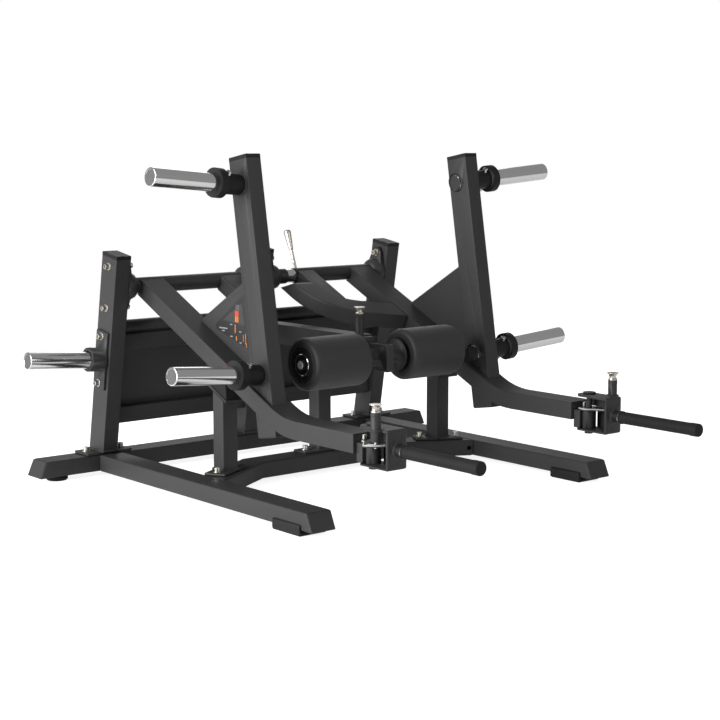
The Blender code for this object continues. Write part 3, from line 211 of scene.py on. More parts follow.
def zinc():
    surface = Surface("zinc_plate", (0.60, 0.565, 0.51), 0.30, 1.0)
    bloom = surface.noise(160.0, 4.0)
    surface.set("Base Color", surface.tint(bloom, (0.52, 0.485, 0.43), (0.70, 0.67, 0.62)))
    surface.set("Roughness", 0.22 + bloom * 0.18)
    surface.relief(bloom, 0.00008, 0.4, edge=0.0006)
    return surface


def bronze():
    surface = Surface("bearing_bronze", (0.45, 0.33, 0.18), 0.42, 1.0)
    grain = surface.noise(400.0, 3.0)
    surface.set("Base Color", surface.tint(grain, (0.36, 0.25, 0.13), (0.52, 0.40, 0.23)))
    return surface


# %% [markdown]
# Three blacks are not metal. The feet and tube caps are moulded plastic with a pebbled grain. The
# grips and rests are rubber, duller and a little dusty. The rollers are foam with a closed skin: pores
# far smaller than the roller, and a soft sheen that Sheen Weight gives without any extra node. All
# finishes are then kept in one table, with a bright steel for the index plates' upper edges and the axle
# screws.

# %% Plastic, rubber and foam


def moulded_plastic():
    surface = Surface("moulded_plastic", (0.013, 0.013, 0.014), 0.50)
    surface.shader.inputs["Specular IOR Level"].default_value = 0.2
    pebbles = surface.cells(620.0, "SMOOTH_F1")
    clouds = surface.noise(12.0)
    surface.set("Roughness", 0.42 + clouds * 0.16)
    surface.relief(1 - pebbles, 0.0002, 0.5, edge=0.0010)
    return surface


def rubber():
    surface = Surface("rubber", (0.010, 0.010, 0.010), 0.72)
    surface.shader.inputs["Specular IOR Level"].default_value = 0.25
    grain = surface.noise(700.0, 3.0)
    dust = surface.noise(18.0, 4.0)
    surface.set("Base Color", surface.tint(dust.power(3.0), (0.009, 0.009, 0.009), (0.024, 0.023, 0.022)))
    surface.set("Roughness", 0.62 + dust * 0.18)
    surface.relief(grain, 0.0002, 0.6)
    return surface


def roller_foam():
    surface = Surface("roller_foam", (0.014, 0.014, 0.015), 0.60)
    pores = surface.cells(900.0)
    clouds = surface.noise(9.0, 3.0)
    surface.set("Base Color", surface.tint(clouds, (0.010, 0.010, 0.011), (0.019, 0.019, 0.020)))
    surface.set("Roughness", 0.50 + clouds * 0.16)
    surface.shader.inputs["Sheen Weight"].default_value = 0.12
    surface.relief(pores, 0.00022, 0.45)
    return surface


FINISH = {
    "powder": powder_coat(),
    "chrome": chrome(),
    "steel": zinc(),
    "bright": Surface("bright_steel", (0.80, 0.80, 0.79), 0.45, 0.4),
    "bronze": bronze(),
    "moulded": moulded_plastic(),
    "rubber": rubber(),
    "foam": roller_foam(),
}
print("finishes:", ", ".join(FINISH))

# %% [markdown]
# Every new piece ends the same way. Its mesh is cleaned, its faces are turned outwards, its round
# faces are shaded smooth, and it rides on the body that carries it. Weighted normals keep the large
# flat faces flat where they meet a rounded corner.

# %% Finishing a piece
MERGE_REACH = 1e-5


def finish_piece(name, shape, slot, body, replaces=(), smooth_angle=38, turn_out=True):
    bmesh.ops.remove_doubles(shape, verts=shape.verts, dist=MERGE_REACH)
    if turn_out:
        bmesh.ops.recalc_face_normals(shape, faces=shape.faces)
    mesh = bpy.data.meshes.new(name)
    shape.to_mesh(mesh)
    shape.free()
    mesh.shade_smooth()
    mesh.set_sharp_from_angle(angle=math.radians(smooth_angle))
    piece = bpy.data.objects.new(name, mesh)
    bpy.context.scene.collection.objects.link(piece)
    mesh.materials.append(FINISH[slot].material)
    weighted = piece.modifiers.new("flat faces stay flat", "WEIGHTED_NORMAL")
    weighted.keep_sharp = True
    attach(piece, body)
    if replaces:
        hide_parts(*replaces)
    return piece


def smoothed(node):
    """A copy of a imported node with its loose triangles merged, so that it can be shaded smooth."""
    shape = bmesh.new()
    shape.from_mesh(frame["nodes"][node].data)
    return finish_piece(f"{node}_finished", shape, SLOT_OF[node], BODY_OF[node], (node,), turn_out=False)


# %% [markdown]
# Round things are turned, as on a lathe. A profile of radius and height is laid out as a line of
# vertices, and spin sweeps it once round the axis. use_merge closes the seam where it meets itself.

# %% Turned shapes
FINE_STEPS = 64
SMALL_STEPS = 32
SEAM_REACH = 1e-6


def stand_on(point, direction):
    """The matrix that puts a shape's foot on a point, with its Z axis along a direction."""
    turn = Vector(direction).to_track_quat("Z", "Y").to_matrix().to_4x4()
    return Matrix.Translation(point) @ turn


def turned(profile, point, direction, steps=FINE_STEPS):
    """A profile swept round its axis. One that stays off the axis is closed first, to make a ring."""
    shape = bmesh.new()
    line = [shape.verts.new((radius, 0, height)) for radius, height in profile]
    edges = [shape.edges.new(pair) for pair in zip(line, line[1:])]
    if min(radius for radius, _ in profile) > 0:
        edges.append(shape.edges.new((line[-1], line[0])))
    bmesh.ops.spin(
        shape,
        geom=line + edges,
        cent=(0, 0, 0),
        axis=(0, 0, 1),
        angle=math.tau,
        steps=steps,
        use_merge=True,
    )
    bmesh.ops.remove_doubles(shape, verts=shape.verts, dist=SEAM_REACH)
    shape.transform(stand_on(point, direction))
    return shape


def rounded(corner, radius, start, end, steps=4):
    """Profile points round a corner's centre, angles in degrees from the radius axis."""
    angles = [math.radians(start + (end - start) * i / steps) for i in range(steps + 1)]
    return [(corner[0] + radius * math.cos(a), corner[1] + radius * math.sin(a)) for a in angles]


def block(size, edge, segments=3):
    """A box about its middle with rounded edges."""
    shape = bmesh.new()
    bmesh.ops.create_cube(shape, size=1)
    bmesh.ops.scale(shape, vec=size, verts=shape.verts)
    bmesh.ops.bevel(
        shape,
        geom=shape.edges[:],
        offset=edge,
        segments=segments,
        profile=0.5,
        affect="EDGES",
        material=-1,
    )
    return shape


def put(shape, matrix):
    shape.transform(matrix)
    return shape


def gather(shapes):
    """One bmesh that holds all of the given ones."""
    whole = bmesh.new()
    for shape in shapes:
        mesh = bpy.data.meshes.new("gathered")
        shape.to_mesh(mesh)
        shape.free()
        whole.from_mesh(mesh)
        bpy.data.meshes.remove(mesh)
    return whole


# %% [markdown]
# A peg's axis isn't level: it climbs a little towards its outer end so that plates can't slide off.
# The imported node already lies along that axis, so the middles of its two ends give the line, and
# a finer bar is turned on it. Its edges are rounded, and its outer face has a shallow recess.

# %% Chrome pegs
PEG_RADIUS = 0.025
PEG_EDGE = 0.0022
RECESS_RADII = (0.0205, 0.0198)
RECESS_DEPTH = 0.0006


def ends_of(node, reach=0.008):
    """Middles of the two ends of a bar that runs roughly along X, inner end first."""
    points = [vertex.co for vertex in frame["nodes"][node].data.vertices]
    low, high = min(p.x for p in points), max(p.x for p in points)
    near = [p for p in points if p.x < low + reach]
    far = [p for p in points if p.x > high - reach]
    middles = [sum(group, Vector()) / len(group) for group in (near, far)]
    return sorted(middles, key=lambda p: abs(p.x))


def chrome_peg(node):
    start, end = ends_of(node)
    length = (end - start).length
    inner = rounded((PEG_RADIUS - PEG_EDGE, PEG_EDGE), PEG_EDGE, -90, 0)
    outer = rounded((PEG_RADIUS - PEG_EDGE, length - PEG_EDGE), PEG_EDGE, 0, 90)
    floor = length - RECESS_DEPTH
    face = [(RECESS_RADII[0], length), (RECESS_RADII[1], floor), (0, floor)]
    profile = [(0, 0)] + inner + outer + face
    shape = turned(profile, start, end - start)
    return finish_piece(f"{node}_bar", shape, "chrome", BODY_OF[node], (node,))


pegs = [node for node in BODY_OF if node.endswith("_peg")]
for node in pegs:
    chrome_peg(node)
print(len(pegs), "pegs turned")

# %% [markdown]
# The rollers hold the user's legs. Each is a foam sleeve with a hard cap let into each end. The sleeve
# is straight, with generously rounded ends and a very slight crown. Turning one profile gives all of it.
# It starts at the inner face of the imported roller, which keeps it clear of the carriage.

# %% Foam rollers
ROLLER_AXIS = Vector((0, 0.0635, 0.3795))
ROLLER_RADIUS = 0.075
ROLLER_EDGE = 0.014
ROLLER_BORE = 0.0155
ROLLER_CROWN = 0.0004
ROLLER_STEPS = 96
CAP_RADIUS = 0.0495
CAP_SEAT = 0.008


def roller_profile(length):
    side = ROLLER_RADIUS - ROLLER_CROWN
    bottom = rounded((side - ROLLER_EDGE, ROLLER_EDGE), ROLLER_EDGE, -90, 0, 8)
    top = rounded((side - ROLLER_EDGE, length - ROLLER_EDGE), ROLLER_EDGE, 0, 90, 8)
    rises = [ROLLER_CROWN * math.sin(math.pi * i / 8) for i in range(9)]
    middle = [(side + rise, length * (0.12 + 0.095 * i)) for i, rise in enumerate(rises)]
    recess = [(CAP_RADIUS + 0.0015, 0.0008), (CAP_RADIUS, 0.003), (CAP_RADIUS, CAP_SEAT)]
    low = [(ROLLER_BORE, CAP_SEAT)] + recess[::-1]
    high = [(radius, length - height) for radius, height in recess] + [(ROLLER_BORE, length - CAP_SEAT)]
    return low + bottom + middle + top + high


def foam_roller(side, sign):
    low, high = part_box(f"{side}_roller")
    inner_x = low.x if sign > 0 else high.x
    start = Vector((inner_x, ROLLER_AXIS.y, ROLLER_AXIS.z))
    length = high.x - low.x
    shape = turned(roller_profile(length), start, X_AXIS * sign, ROLLER_STEPS)
    body, packed = f"{side}_foam_roller", (f"{side}_roller",)
    roller = finish_piece(f"{side}_foam_sleeve", shape, "foam", body, packed, smooth_angle=50)
    for end, facing in ((length, 1), (0, -1)):
        roller_cap(side, start + X_AXIS * sign * end, X_AXIS * sign * facing, facing)
    return roller


CAP_DEPTH = 0.0078
CAP_GAP = 0.0006
ROLLER_RING = [(0.0288, 0.0066), (0.0308, 0.0066), (0.0308, 0.0082), (0.0298, 0.0090), (0.0288, 0.0082)]


def roller_cap(side, point, outward, facing):
    """The moulded cap in the recess. The outer one carries a bright ring."""
    base = point - outward * CAP_DEPTH
    rim = CAP_RADIUS - CAP_GAP
    profile = [
        (0.0158, 0),
        (rim, 0),
        (rim, 0.0055),
        (rim - 0.0015, 0.0068),
        (rim - 0.0060, 0.0068),
        (rim - 0.0075, 0.0052),
        (0.0330, 0.0052),
        (0.0320, 0.0066),
        (0.0158, 0.0066),
    ]
    name, body = "outer" if facing > 0 else "inner", f"{side}_foam_roller"
    finish_piece(f"{side}_roller_{name}_cap", turned(profile, base, outward), "moulded", body)
    if facing > 0:
        finish_piece(f"{side}_roller_ring", turned(ROLLER_RING, base, outward), "chrome", body)


for side, sign in SIDES:
    foam_roller(side, sign)
print("rollers turned")

# %% [markdown]
# A grip is a rubber sleeve pushed on the handle's bar. Shallow grooves run round it to stop a hand
# from slipping, and a slightly thicker cap closes its end. The grooves come from a loop over the length.
# A chrome ring and a dark ring fill the bar between the sleeve and the bracket. The dark ring is painted
# shade: it stands for the shadow in the gap at the bracket.

# %% Rubber grips
GRIP_RADIUS = 0.0170
GRIP_BORE = 0.0128
GRIP_GROOVES = 44
GRIP_START = -0.5090
GRIP_STEPS = 48
GRIP_END_WALL = 0.010
GRIP_CAP_LENGTH = 0.027
GRIP_CAP_EDGE = 0.003
FIRST_GROOVE = 0.012
GROOVE_MARGIN = 0.020
GROOVE_DEPTH = 0.0004
# The dark ring by the bracket is painted shade, for the shadow in the gap there.
SHADE_RING_RADIUS = 0.0158
SHADE_RING_ENDS = (-0.0278, -0.001)
GRIP_RING = [
    (GRIP_BORE, -0.0016),
    (0.0180, -0.0016),
    (0.0186, -0.0010),
    (0.0186, 0.0002),
    (GRIP_BORE, 0.0002),
]


def grip_profile(length):
    sleeve_end = length - GRIP_CAP_LENGTH
    step = (sleeve_end - GROOVE_MARGIN) / GRIP_GROOVES
    profile = [(0, length - GRIP_END_WALL), (GRIP_BORE, length - GRIP_END_WALL), (GRIP_BORE, 0)]
    profile += [(GRIP_RADIUS + 0.0010, 0), (GRIP_RADIUS + 0.0014, 0.0010), (GRIP_RADIUS + 0.0014, 0.0050)]
    profile += [(GRIP_RADIUS, 0.0064)]
    deep = GRIP_RADIUS - GROOVE_DEPTH
    for i in range(GRIP_GROOVES):
        start = FIRST_GROOVE + step * i
        profile += [(GRIP_RADIUS, start), (deep, start + step * 0.3)]
        profile += [(deep, start + step * 0.5), (GRIP_RADIUS, start + step * 0.8)]
    cap = GRIP_RADIUS + 0.0010
    profile += [(GRIP_RADIUS, sleeve_end), (cap, sleeve_end + 0.0006)]
    corner = (cap - GRIP_CAP_EDGE, length - GRIP_CAP_EDGE)
    return profile + rounded(corner, GRIP_CAP_EDGE, 0, 90) + [(0, length)]


def rubber_grip(side):
    low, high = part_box(f"{side}_grip")
    middle, body = (low + high) / 2, f"{side}_handle"
    start = (middle.x, GRIP_START, middle.z)
    sleeve = turned(grip_profile(GRIP_START - low.y), start, -Y_AXIS, GRIP_STEPS)
    band = turned(GRIP_RING, start, -Y_AXIS, GRIP_STEPS)
    finish_piece(f"{side}_grip_ring", band, "chrome", body)
    # The dark ring is painted shade: a black tube where the gap at the bracket lies in shadow.
    back, front = SHADE_RING_ENDS
    tube = [(GRIP_BORE, back), (SHADE_RING_RADIUS, back), (SHADE_RING_RADIUS, front), (GRIP_BORE, front)]
    finish_piece(f"{side}_grip_shade_ring", turned(tube, start, -Y_AXIS, GRIP_STEPS), "moulded", body)
    return finish_piece(f"{side}_grip_sleeve", sleeve, "rubber", body, (f"{side}_grip",))


for side, _ in SIDES:
    rubber_grip(side)
print("grips turned")

# %% [markdown]
# Pull pins are turned steel: a plain nose, a collar that stops on the guide, a waist for the fingers
# and a mushroom cap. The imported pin's box gives the place of the nose and of the top. The knob is
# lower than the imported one, so a ring makes the guide that much taller.

# %% Pull pins
PIN_RADIUS = 0.004
PACKED_KNOB = 0.030
KNOB_HEIGHT = 0.0215
KNOB_PROFILE = [
    (0.0118, 0),
    (0.0124, 0.0006),
    (0.0124, 0.0042),
    (0.0118, 0.0050),
    (0.0100, 0.0058),
    (0.0096, 0.0075),
    (0.0102, 0.0120),
    (0.0120, 0.0165),
    (0.0150, 0.0187),
    (0.0165, 0.0195),
    (0.0168, 0.0202),
    (0.0165, 0.0210),
    (0.0145, KNOB_HEIGHT),
    (0, KNOB_HEIGHT),
]
GUIDE_RADIUS = 0.0131
GUIDE_BODY = {"left_pull_pin": "left_handle", "right_pull_pin": "right_handle", "slide_pull_pin": "frame"}


def pull_knob(node):
    low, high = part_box(node)
    middle = (low + high) / 2
    collar = high.z - KNOB_HEIGHT
    nose = low.z - collar
    profile = [(0, nose), (PIN_RADIUS - 0.0006, nose), (PIN_RADIUS, nose + 0.0006), (PIN_RADIUS, 0)]
    shape = turned(profile + KNOB_PROFILE, (middle.x, middle.y, collar), Z_AXIS, SMALL_STEPS)
    finish_piece(f"{node}_knob", shape, "steel", BODY_OF[node], (node,))
    rise = PACKED_KNOB - KNOB_HEIGHT
    ring = [(PIN_RADIUS + 0.0004, -0.001), (GUIDE_RADIUS, -0.001), (GUIDE_RADIUS, rise - 0.0012)]
    ring += [(GUIDE_RADIUS - 0.0008, rise - 0.0002), (PIN_RADIUS + 0.0004, rise - 0.0002)]
    shape = turned(ring, (middle.x, middle.y, high.z - PACKED_KNOB), Z_AXIS, SMALL_STEPS)
    return finish_piece(f"{node}_guide_top", shape, "powder", GUIDE_BODY[node])


for node in GUIDE_BODY:
    pull_knob(node)
print(len(GUIDE_BODY), "pull pins turned")

# %% [markdown]
# The coupling's handle is a rod screwed in the sliding sleeve, with a tapered knob that is widest near
# its top. It leans to the back. Rod and knob are one profile, as heights above the rod's foot, which
# starts a third of a millimetre above the sleeve.

# %% The coupling's handle
PIVOT = Vector((0, 0.654185, 0.5715))
COUPLING_LEAN = math.radians(20)
COUPLING_X = 0.157
COUPLING_FOOT = 0.0223
COUPLING_PROFILE = [
    (0, 0),
    (0.005, 0),
    (0.005, 0.0640),
    (0.0066, 0.0652),
    (0.0072, 0.0680),
    (0.0112, 0.1180),
    (0.0115, 0.1220),
    (0.0110, 0.1262),
    (0.0088, 0.1290),
    (0, 0.1300),
]


def coupling_handle():
    up = Vector((0, math.sin(COUPLING_LEAN), math.cos(COUPLING_LEAN)))
    profile = [(radius, COUPLING_FOOT + height) for radius, height in COUPLING_PROFILE]
    shape = turned(profile, PIVOT + X_AXIS * COUPLING_X, up, SMALL_STEPS)
    return finish_piece("coupling_knob", shape, "steel", "coupling", ("coupling_handle",))


coupling_handle()

# %% [markdown]
# The other nodes already have the right shape. Each gets a merged copy that can be shaded smooth, with
# the finish that its record's slot names. The two index plates are dark instead, and the bevel on their
# upper edge has a bright steel colour. Their loose triangles are first dissolved into flat faces, so that
# bevel finds the outline and not the diagonals.

# %% Smooth copies of the imported pieces
DARK_PLATES = ("left_index_plate", "right_index_plate")
FLAT_ANGLE = 0.01
TOP_REACH = 1e-4
BRIGHT_EDGE_WIDTH = 0.0028


def dark_plate(node):
    """A dark copy of a plate, whose bevelled upper edge has a bright steel colour."""
    shape = bmesh.new()
    shape.from_mesh(frame["nodes"][node].data)
    bmesh.ops.remove_doubles(shape, verts=shape.verts, dist=MERGE_REACH)
    bmesh.ops.dissolve_limit(shape, angle_limit=FLAT_ANGLE, verts=shape.verts, edges=shape.edges)
    top = max(vertex.co.z for vertex in shape.verts)
    rim = [
        edge
        for edge in shape.edges
        if min(vertex.co.z for vertex in edge.verts) > top - TOP_REACH
        and min(face.normal.z for face in edge.link_faces) < 0.5
    ]
    made = bmesh.ops.bevel(
        shape,
        geom=rim,
        offset=BRIGHT_EDGE_WIDTH,
        segments=1,
        profile=0.5,
        affect="EDGES",
        material=-1,
    )
    for face in made["faces"]:
        face.material_index = 1
    plate = finish_piece(f"{node}_finished", shape, "powder", BODY_OF[node], (node,), turn_out=False)
    plate.data.materials.append(FINISH["bright"].material)
    return plate


turned_anew = set(pegs) | set(GUIDE_BODY)
turned_anew |= {"left_roller", "right_roller", "left_grip", "right_grip", "coupling_handle"}
for node in DARK_PLATES:
    dark_plate(node)
for node in BODY_OF:
    if node not in turned_anew and node not in DARK_PLATES:
        smoothed(node)
print(len(BODY_OF) - len(turned_anew), "nodes finished from their own shape")

# %% [markdown]
# Socket screws hold the machine together, so there are many of them. Nearly all are one shape: a washer,
# and a tall round head with a socket. Each storage bracket also has one low round head on top. Every
# group of screws is one piece on the body that it fastens.

# %% Screws
WASHER_RADIUS = 0.0118
WASHER_TOP = 0.0022
HEAD_RADIUS = 0.0082
HEAD_TOP = 0.0142
HEAD_EDGE = 0.001
SOCKET_RADIUS = 0.0045
SOCKET_FLOOR = HEAD_TOP - 0.006
SOFT = 0.0006


def cap_screw(point, direction):
    """A washer and a tall head, standing on a point."""
    profile = [(0, 0), (WASHER_RADIUS - SOFT, 0), (WASHER_RADIUS, SOFT), (WASHER_RADIUS, WASHER_TOP - SOFT)]
    profile += [(WASHER_RADIUS - SOFT, WASHER_TOP), (HEAD_RADIUS, WASHER_TOP)]
    profile += rounded((HEAD_RADIUS - HEAD_EDGE, HEAD_TOP - HEAD_EDGE), HEAD_EDGE, 0, 90, 2)
    profile += [(SOCKET_RADIUS + 0.0004, HEAD_TOP), (SOCKET_RADIUS, HEAD_TOP - 0.0005)]
    profile += [(SOCKET_RADIUS, SOCKET_FLOOR), (0, SOCKET_FLOOR)]
    return turned(profile, point, direction, SMALL_STEPS)


def button_head(point, direction, radius=0.006):
    """A low round screw head with a socket in its middle."""
    profile = [(0, 0.0010), (radius * 0.45, 0.0010), (radius * 0.50, radius * 0.55)]
    profile += [(radius * 0.70, radius * 0.52), (radius * 0.92, radius * 0.34), (radius, radius * 0.10)]
    profile += [(radius, 0), (0, 0)]
    return turned(profile, point, direction, SMALL_STEPS)


UPRIGHT_LEAN = math.radians(9.6)
UPRIGHT_X = 0.521
UP_THE_LEAN = Vector((0, -math.sin(UPRIGHT_LEAN), math.cos(UPRIGHT_LEAN)))
PLATE_TOP = 0.0730
UPRIGHT_FOOT_Y = 0.7385
CENTRE_POST_Y = 0.3385
FRONT_POST = (0.408, 0.255)
MID_BEND = math.radians(30)
UPRIGHT_BOLTS = (-0.060, 0.060)
CENTRE_POST_BOLTS = (-0.057, 0.057)
FRONT_POST_BOLT = 0.0575


def base_bolts():
    bolts = []
    for x in (-UPRIGHT_X, 0, UPRIGHT_X):
        bolts += [cap_screw((x + dx, UPRIGHT_FOOT_Y, PLATE_TOP), Z_AXIS) for dx in UPRIGHT_BOLTS]
    bolts += [cap_screw((dx, CENTRE_POST_Y, PLATE_TOP), Z_AXIS) for dx in CENTRE_POST_BOLTS]
    for _, sign in SIDES:
        along = Vector((math.cos(MID_BEND), -sign * math.sin(MID_BEND), 0)) * FRONT_POST_BOLT
        middle = Vector((sign * FRONT_POST[0], FRONT_POST[1], PLATE_TOP))
        bolts += [cap_screw(middle + along * end, Z_AXIS) for end in (-1, 1)]
    return finish_piece("base_plate_bolts", gather(bolts), "steel", "frame")


UPRIGHT_HALF = 0.025
FLANGE = 0.0143
BEARING_BOLTS = (-0.063, 0.063)


def bearing_bolts():
    """Two screws on each face of an outer upright, and on each face of the centre one."""
    bolts = []
    for _, sign in SIDES:
        outer_face = sign * (UPRIGHT_X + UPRIGHT_HALF)
        inner_face = sign * (UPRIGHT_X - UPRIGHT_HALF - FLANGE)
        centre_face = sign * (UPRIGHT_HALF + FLANGE)
        for end in BEARING_BOLTS:
            spot = PIVOT + UP_THE_LEAN * end
            bolts.append(cap_screw(spot + X_AXIS * outer_face, X_AXIS * sign))
            bolts.append(cap_screw(spot + X_AXIS * inner_face, X_AXIS * -sign))
            bolts.append(cap_screw(spot + X_AXIS * centre_face, X_AXIS * sign))
    return finish_piece("bearing_bolts", gather(bolts), "steel", "frame")


STORAGE_PLATE = Vector((UPRIGHT_X + 0.0333, 0.69098, 0.354))
STORAGE_BOLTS = (-0.072, 0.072)
STORAGE_TOP_SCREW = Vector((0.030, 0, 0.0362))


def storage_bolts():
    bolts = []
    for _, sign in SIDES:
        mirrored = Matrix.Scale(sign, 4, X_AXIS)
        middle = mirrored @ STORAGE_PLATE
        bolts += [cap_screw(middle + UP_THE_LEAN * end, X_AXIS * sign) for end in STORAGE_BOLTS]
        bolts.append(button_head(middle + mirrored @ STORAGE_TOP_SCREW, Z_AXIS))
    return finish_piece("storage_bolts", gather(bolts), "steel", "frame")


base_bolts()
bearing_bolts()
storage_bolts()

# %% [markdown]
# Each weight peg is held in a hub, a sleeve that ends in a collar. Both are one turned ring here, which
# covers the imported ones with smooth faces. Two set screws lock the peg just inside the collar. They lean
# a little to the front above and to the back below. On the inner side of the arm, a dark plug covers
# the end of the peg and leaves a thin bright ring of it.

# %% Set screws and plugs
HUB_RADIUS = 0.028
SET_SCREW_X = 0.483
SET_SCREW_LEAN = math.radians(28)
SET_SCREW = [
    (0, 0),
    (0.0078, 0),
    (0.0078, 0.0106),
    (0.0070, 0.0116),
    (0.0042, 0.0116),
    (0.0038, 0.0070),
    (0, 0.0070),
]
PLUG = [(0, -0.0010), (0.0224, -0.0010), (0.0232, -0.0004), (0.0232, 0.001), (0, 0.001)]
HUB_FACE_X = 0.429
COLLAR_X = (0.497, 0.521)
COLLAR_RADIUS = 0.040


def at_x(node, x):
    """The point on a peg's axis at that distance from the middle plane, and the axis."""
    start, end = ends_of(node)
    axis = (end - start).normalized()
    return start + axis * ((x - abs(start.x)) / abs(axis.x)), axis


def hub_and_collar(side, which):
    """A smooth sleeve from the arm to the collar, and the collar's disc."""
    node = f"{side}_{which}_weight_peg"
    point, axis = at_x(node, HUB_FACE_X)
    neck = (at_x(node, COLLAR_X[0])[0] - point).length
    end = (at_x(node, COLLAR_X[1])[0] - point).length
    bore, hub, disc, edge = PEG_RADIUS + 0.0006, HUB_RADIUS + 0.0004, COLLAR_RADIUS + 0.0004, 0.0010
    profile = [(bore, 0), (hub, 0), (hub, neck), (disc - edge, neck), (disc, neck + edge)]
    profile += [(disc, end - edge), (disc - edge, end + 0.0002), (bore, end + 0.0002)]
    return turned(profile, point, axis)


def set_screws(side):
    screws, plugs = [], []
    for which in ("upper", "lower"):
        node = f"{side}_{which}_weight_peg"
        spot, axis = at_x(node, SET_SCREW_X)
        up = (Z_AXIS - axis * Z_AXIS.dot(axis)).normalized()
        front = (axis * Y_AXIS.dot(axis) - Y_AXIS).normalized()
        lean = up * math.cos(SET_SCREW_LEAN) + front * math.sin(SET_SCREW_LEAN)
        for facing in (lean, -lean):
            screws.append(turned(SET_SCREW, spot + facing * (HUB_RADIUS - 0.0012), facing, SMALL_STEPS))
        plugs.append(turned(PLUG, ends_of(node)[0], axis))
    finish_piece(f"{side}_set_screws", gather(screws), "steel", f"{side}_lever")
    finish_piece(f"{side}_hub_plugs", gather(plugs), "powder", f"{side}_lever")
    collars = [hub_and_collar(side, which) for which in ("upper", "lower")]
    finish_piece(f"{side}_hub_collars", gather(collars), "moulded", f"{side}_lever")


for side, _ in SIDES:
    set_screws(side)

# %% [markdown]
# A flat bright screw with a shallow recess holds each roller on its axle. Beside each handle's barrel, a
# stop screw stands on the index plate. Two plates inside the bracket close the view through it, and a
# block with soft edges ends the lever's tube between the bracket's flanges.

# %% Screws on the axle and the index plates
SWIVEL_X, SWIVEL_Y = 0.4025, -0.3885
INDEX_TOP = 0.2458
STOP_OFFSET = (0.0084, 0.026)
AXLE_SCREW = [
    (0, -0.001),
    (0.0110, -0.001),
    (0.0110, 0.0032),
    (0.0103, 0.0040),
    (0.0050, 0.0040),
    (0.0044, 0.0026),
    (0, 0.0026),
]
STOP_SCREW = [
    (0, 0),
    (0.0065, 0),
    (0.0065, 0.0112),
    (0.0057, 0.0120),
    (0.0030, 0.0120),
    (0.0026, 0.0090),
    (0, 0.0090),
]


def axle_screws():
    low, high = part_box("roller_carriage")
    ends = ((low.x, -X_AXIS), (high.x, X_AXIS))
    shapes = [turned(AXLE_SCREW, (x, ROLLER_AXIS.y, ROLLER_AXIS.z), direction) for x, direction in ends]
    return finish_piece("axle_screws", gather(shapes), "bright", "carriage")


def stop_screw(side, sign):
    point = (sign * (SWIVEL_X + STOP_OFFSET[0]), SWIVEL_Y + STOP_OFFSET[1], INDEX_TOP)
    shape = turned(STOP_SCREW, point, Z_AXIS, SMALL_STEPS)
    return finish_piece(f"{side}_stop_screw", shape, "steel", f"{side}_lever")


# %% [markdown]
# The two plates in each bracket stop short of the lever, so that the handle can swivel without touching
# it. Every block is given by two opposite corners, measured from the barrel's axis along X.

# %% Plates in the brackets and the levers' ends
LINERS = (
    ((0.0306, -0.4745, 0.1872), (0.0334, -0.3920, 0.2385)),
    ((0.0230, -0.4745, 0.2475), (0.0310, -0.3750, 0.2788)),
)
LINER_EDGE = 0.0010
LEVER_END = (Vector((-0.0300, -0.3800, 0.1879)), Vector((0.0300, -0.3560, 0.2391)))
LEVER_END_EDGE = 0.0030


def bracket_liner(side, sign):
    """Two plates that leave room between them for the index plate."""
    parts = []
    for corner, opposite in LINERS:
        low, high = Vector(corner), Vector(opposite)
        middle = (low + high) / 2 + X_AXIS * sign * SWIVEL_X
        parts.append(put(block(high - low, LINER_EDGE, 2), Matrix.Translation(middle)))
    return finish_piece(f"{side}_bracket_liner", gather(parts), "powder", f"{side}_handle")


def lever_end(side, sign):
    """The last of the lever's tube, which reaches in between the bracket's flanges."""
    low, high = LEVER_END
    middle = (low + high) / 2 + X_AXIS * sign * SWIVEL_X
    shape = put(block(high - low, LEVER_END_EDGE), Matrix.Translation(middle))
    return finish_piece(f"{side}_lever_end", shape, "powder", f"{side}_lever")


axle_screws()
for side, sign in SIDES:
    stop_screw(side, sign)
    bracket_liner(side, sign)
    lever_end(side, sign)

# %% [markdown]
# Open tubes are closed with moulded caps. A cap is a block with rounded edges, about as wide as its
# tube. It lies on the end at the tube's own angle, and most of it is sunk in the tube.

# %% Tube caps
ARM_LEAN = math.radians(9.5)
UP_THE_ARM = Vector((0, math.sin(ARM_LEAN), math.cos(ARM_LEAN)))
CAP_DROP = 0.002
CAP_EDGE = 0.0018
END_REACH = 0.002
UPRIGHT_CAP = (0.0508, 0.0808, 0.0120)
ARM_CAP = (0.0498, 0.0808, 0.0120)


def cap_on(name, middle, along, size, body):
    """A cap on a tube's end. size is its width along X, its depth and its thickness."""
    across = X_AXIS.cross(along)
    turn = Matrix((X_AXIS, -across, along)).transposed().to_4x4()
    shape = put(block(size, CAP_EDGE), Matrix.Translation(middle) @ turn)
    return finish_piece(name, shape, "moulded", body)


def top_of(node, along):
    """Middle of a leaning tube's upper end."""
    points = [vertex.co for vertex in frame["nodes"][node].data.vertices]
    reach = max(p.dot(along) for p in points)
    ring = [p for p in points if p.dot(along) > reach - END_REACH]
    low = Vector([min(p[i] for p in ring) for i in range(3)])
    high = Vector([max(p[i] for p in ring) for i in range(3)])
    return (low + high) / 2


for name in ("left", "centre", "right"):
    spot = top_of(f"{name}_upright", UP_THE_LEAN) - UP_THE_LEAN * CAP_DROP
    cap_on(f"{name}_upright_cap", spot, UP_THE_LEAN, UPRIGHT_CAP, "frame")
for side, _ in SIDES:
    spot = top_of(f"{side}_weight_arm", UP_THE_ARM) - UP_THE_ARM * CAP_DROP
    cap_on(f"{side}_arm_cap", spot, UP_THE_ARM, ARM_CAP, f"{side}_lever")

# %% [markdown]
# The rails and the rear beam end in sloping plates welded over the tube. A thin plate with soft edges
# lies on each slope, set in a little, so that its outline shows as it does on the machine.

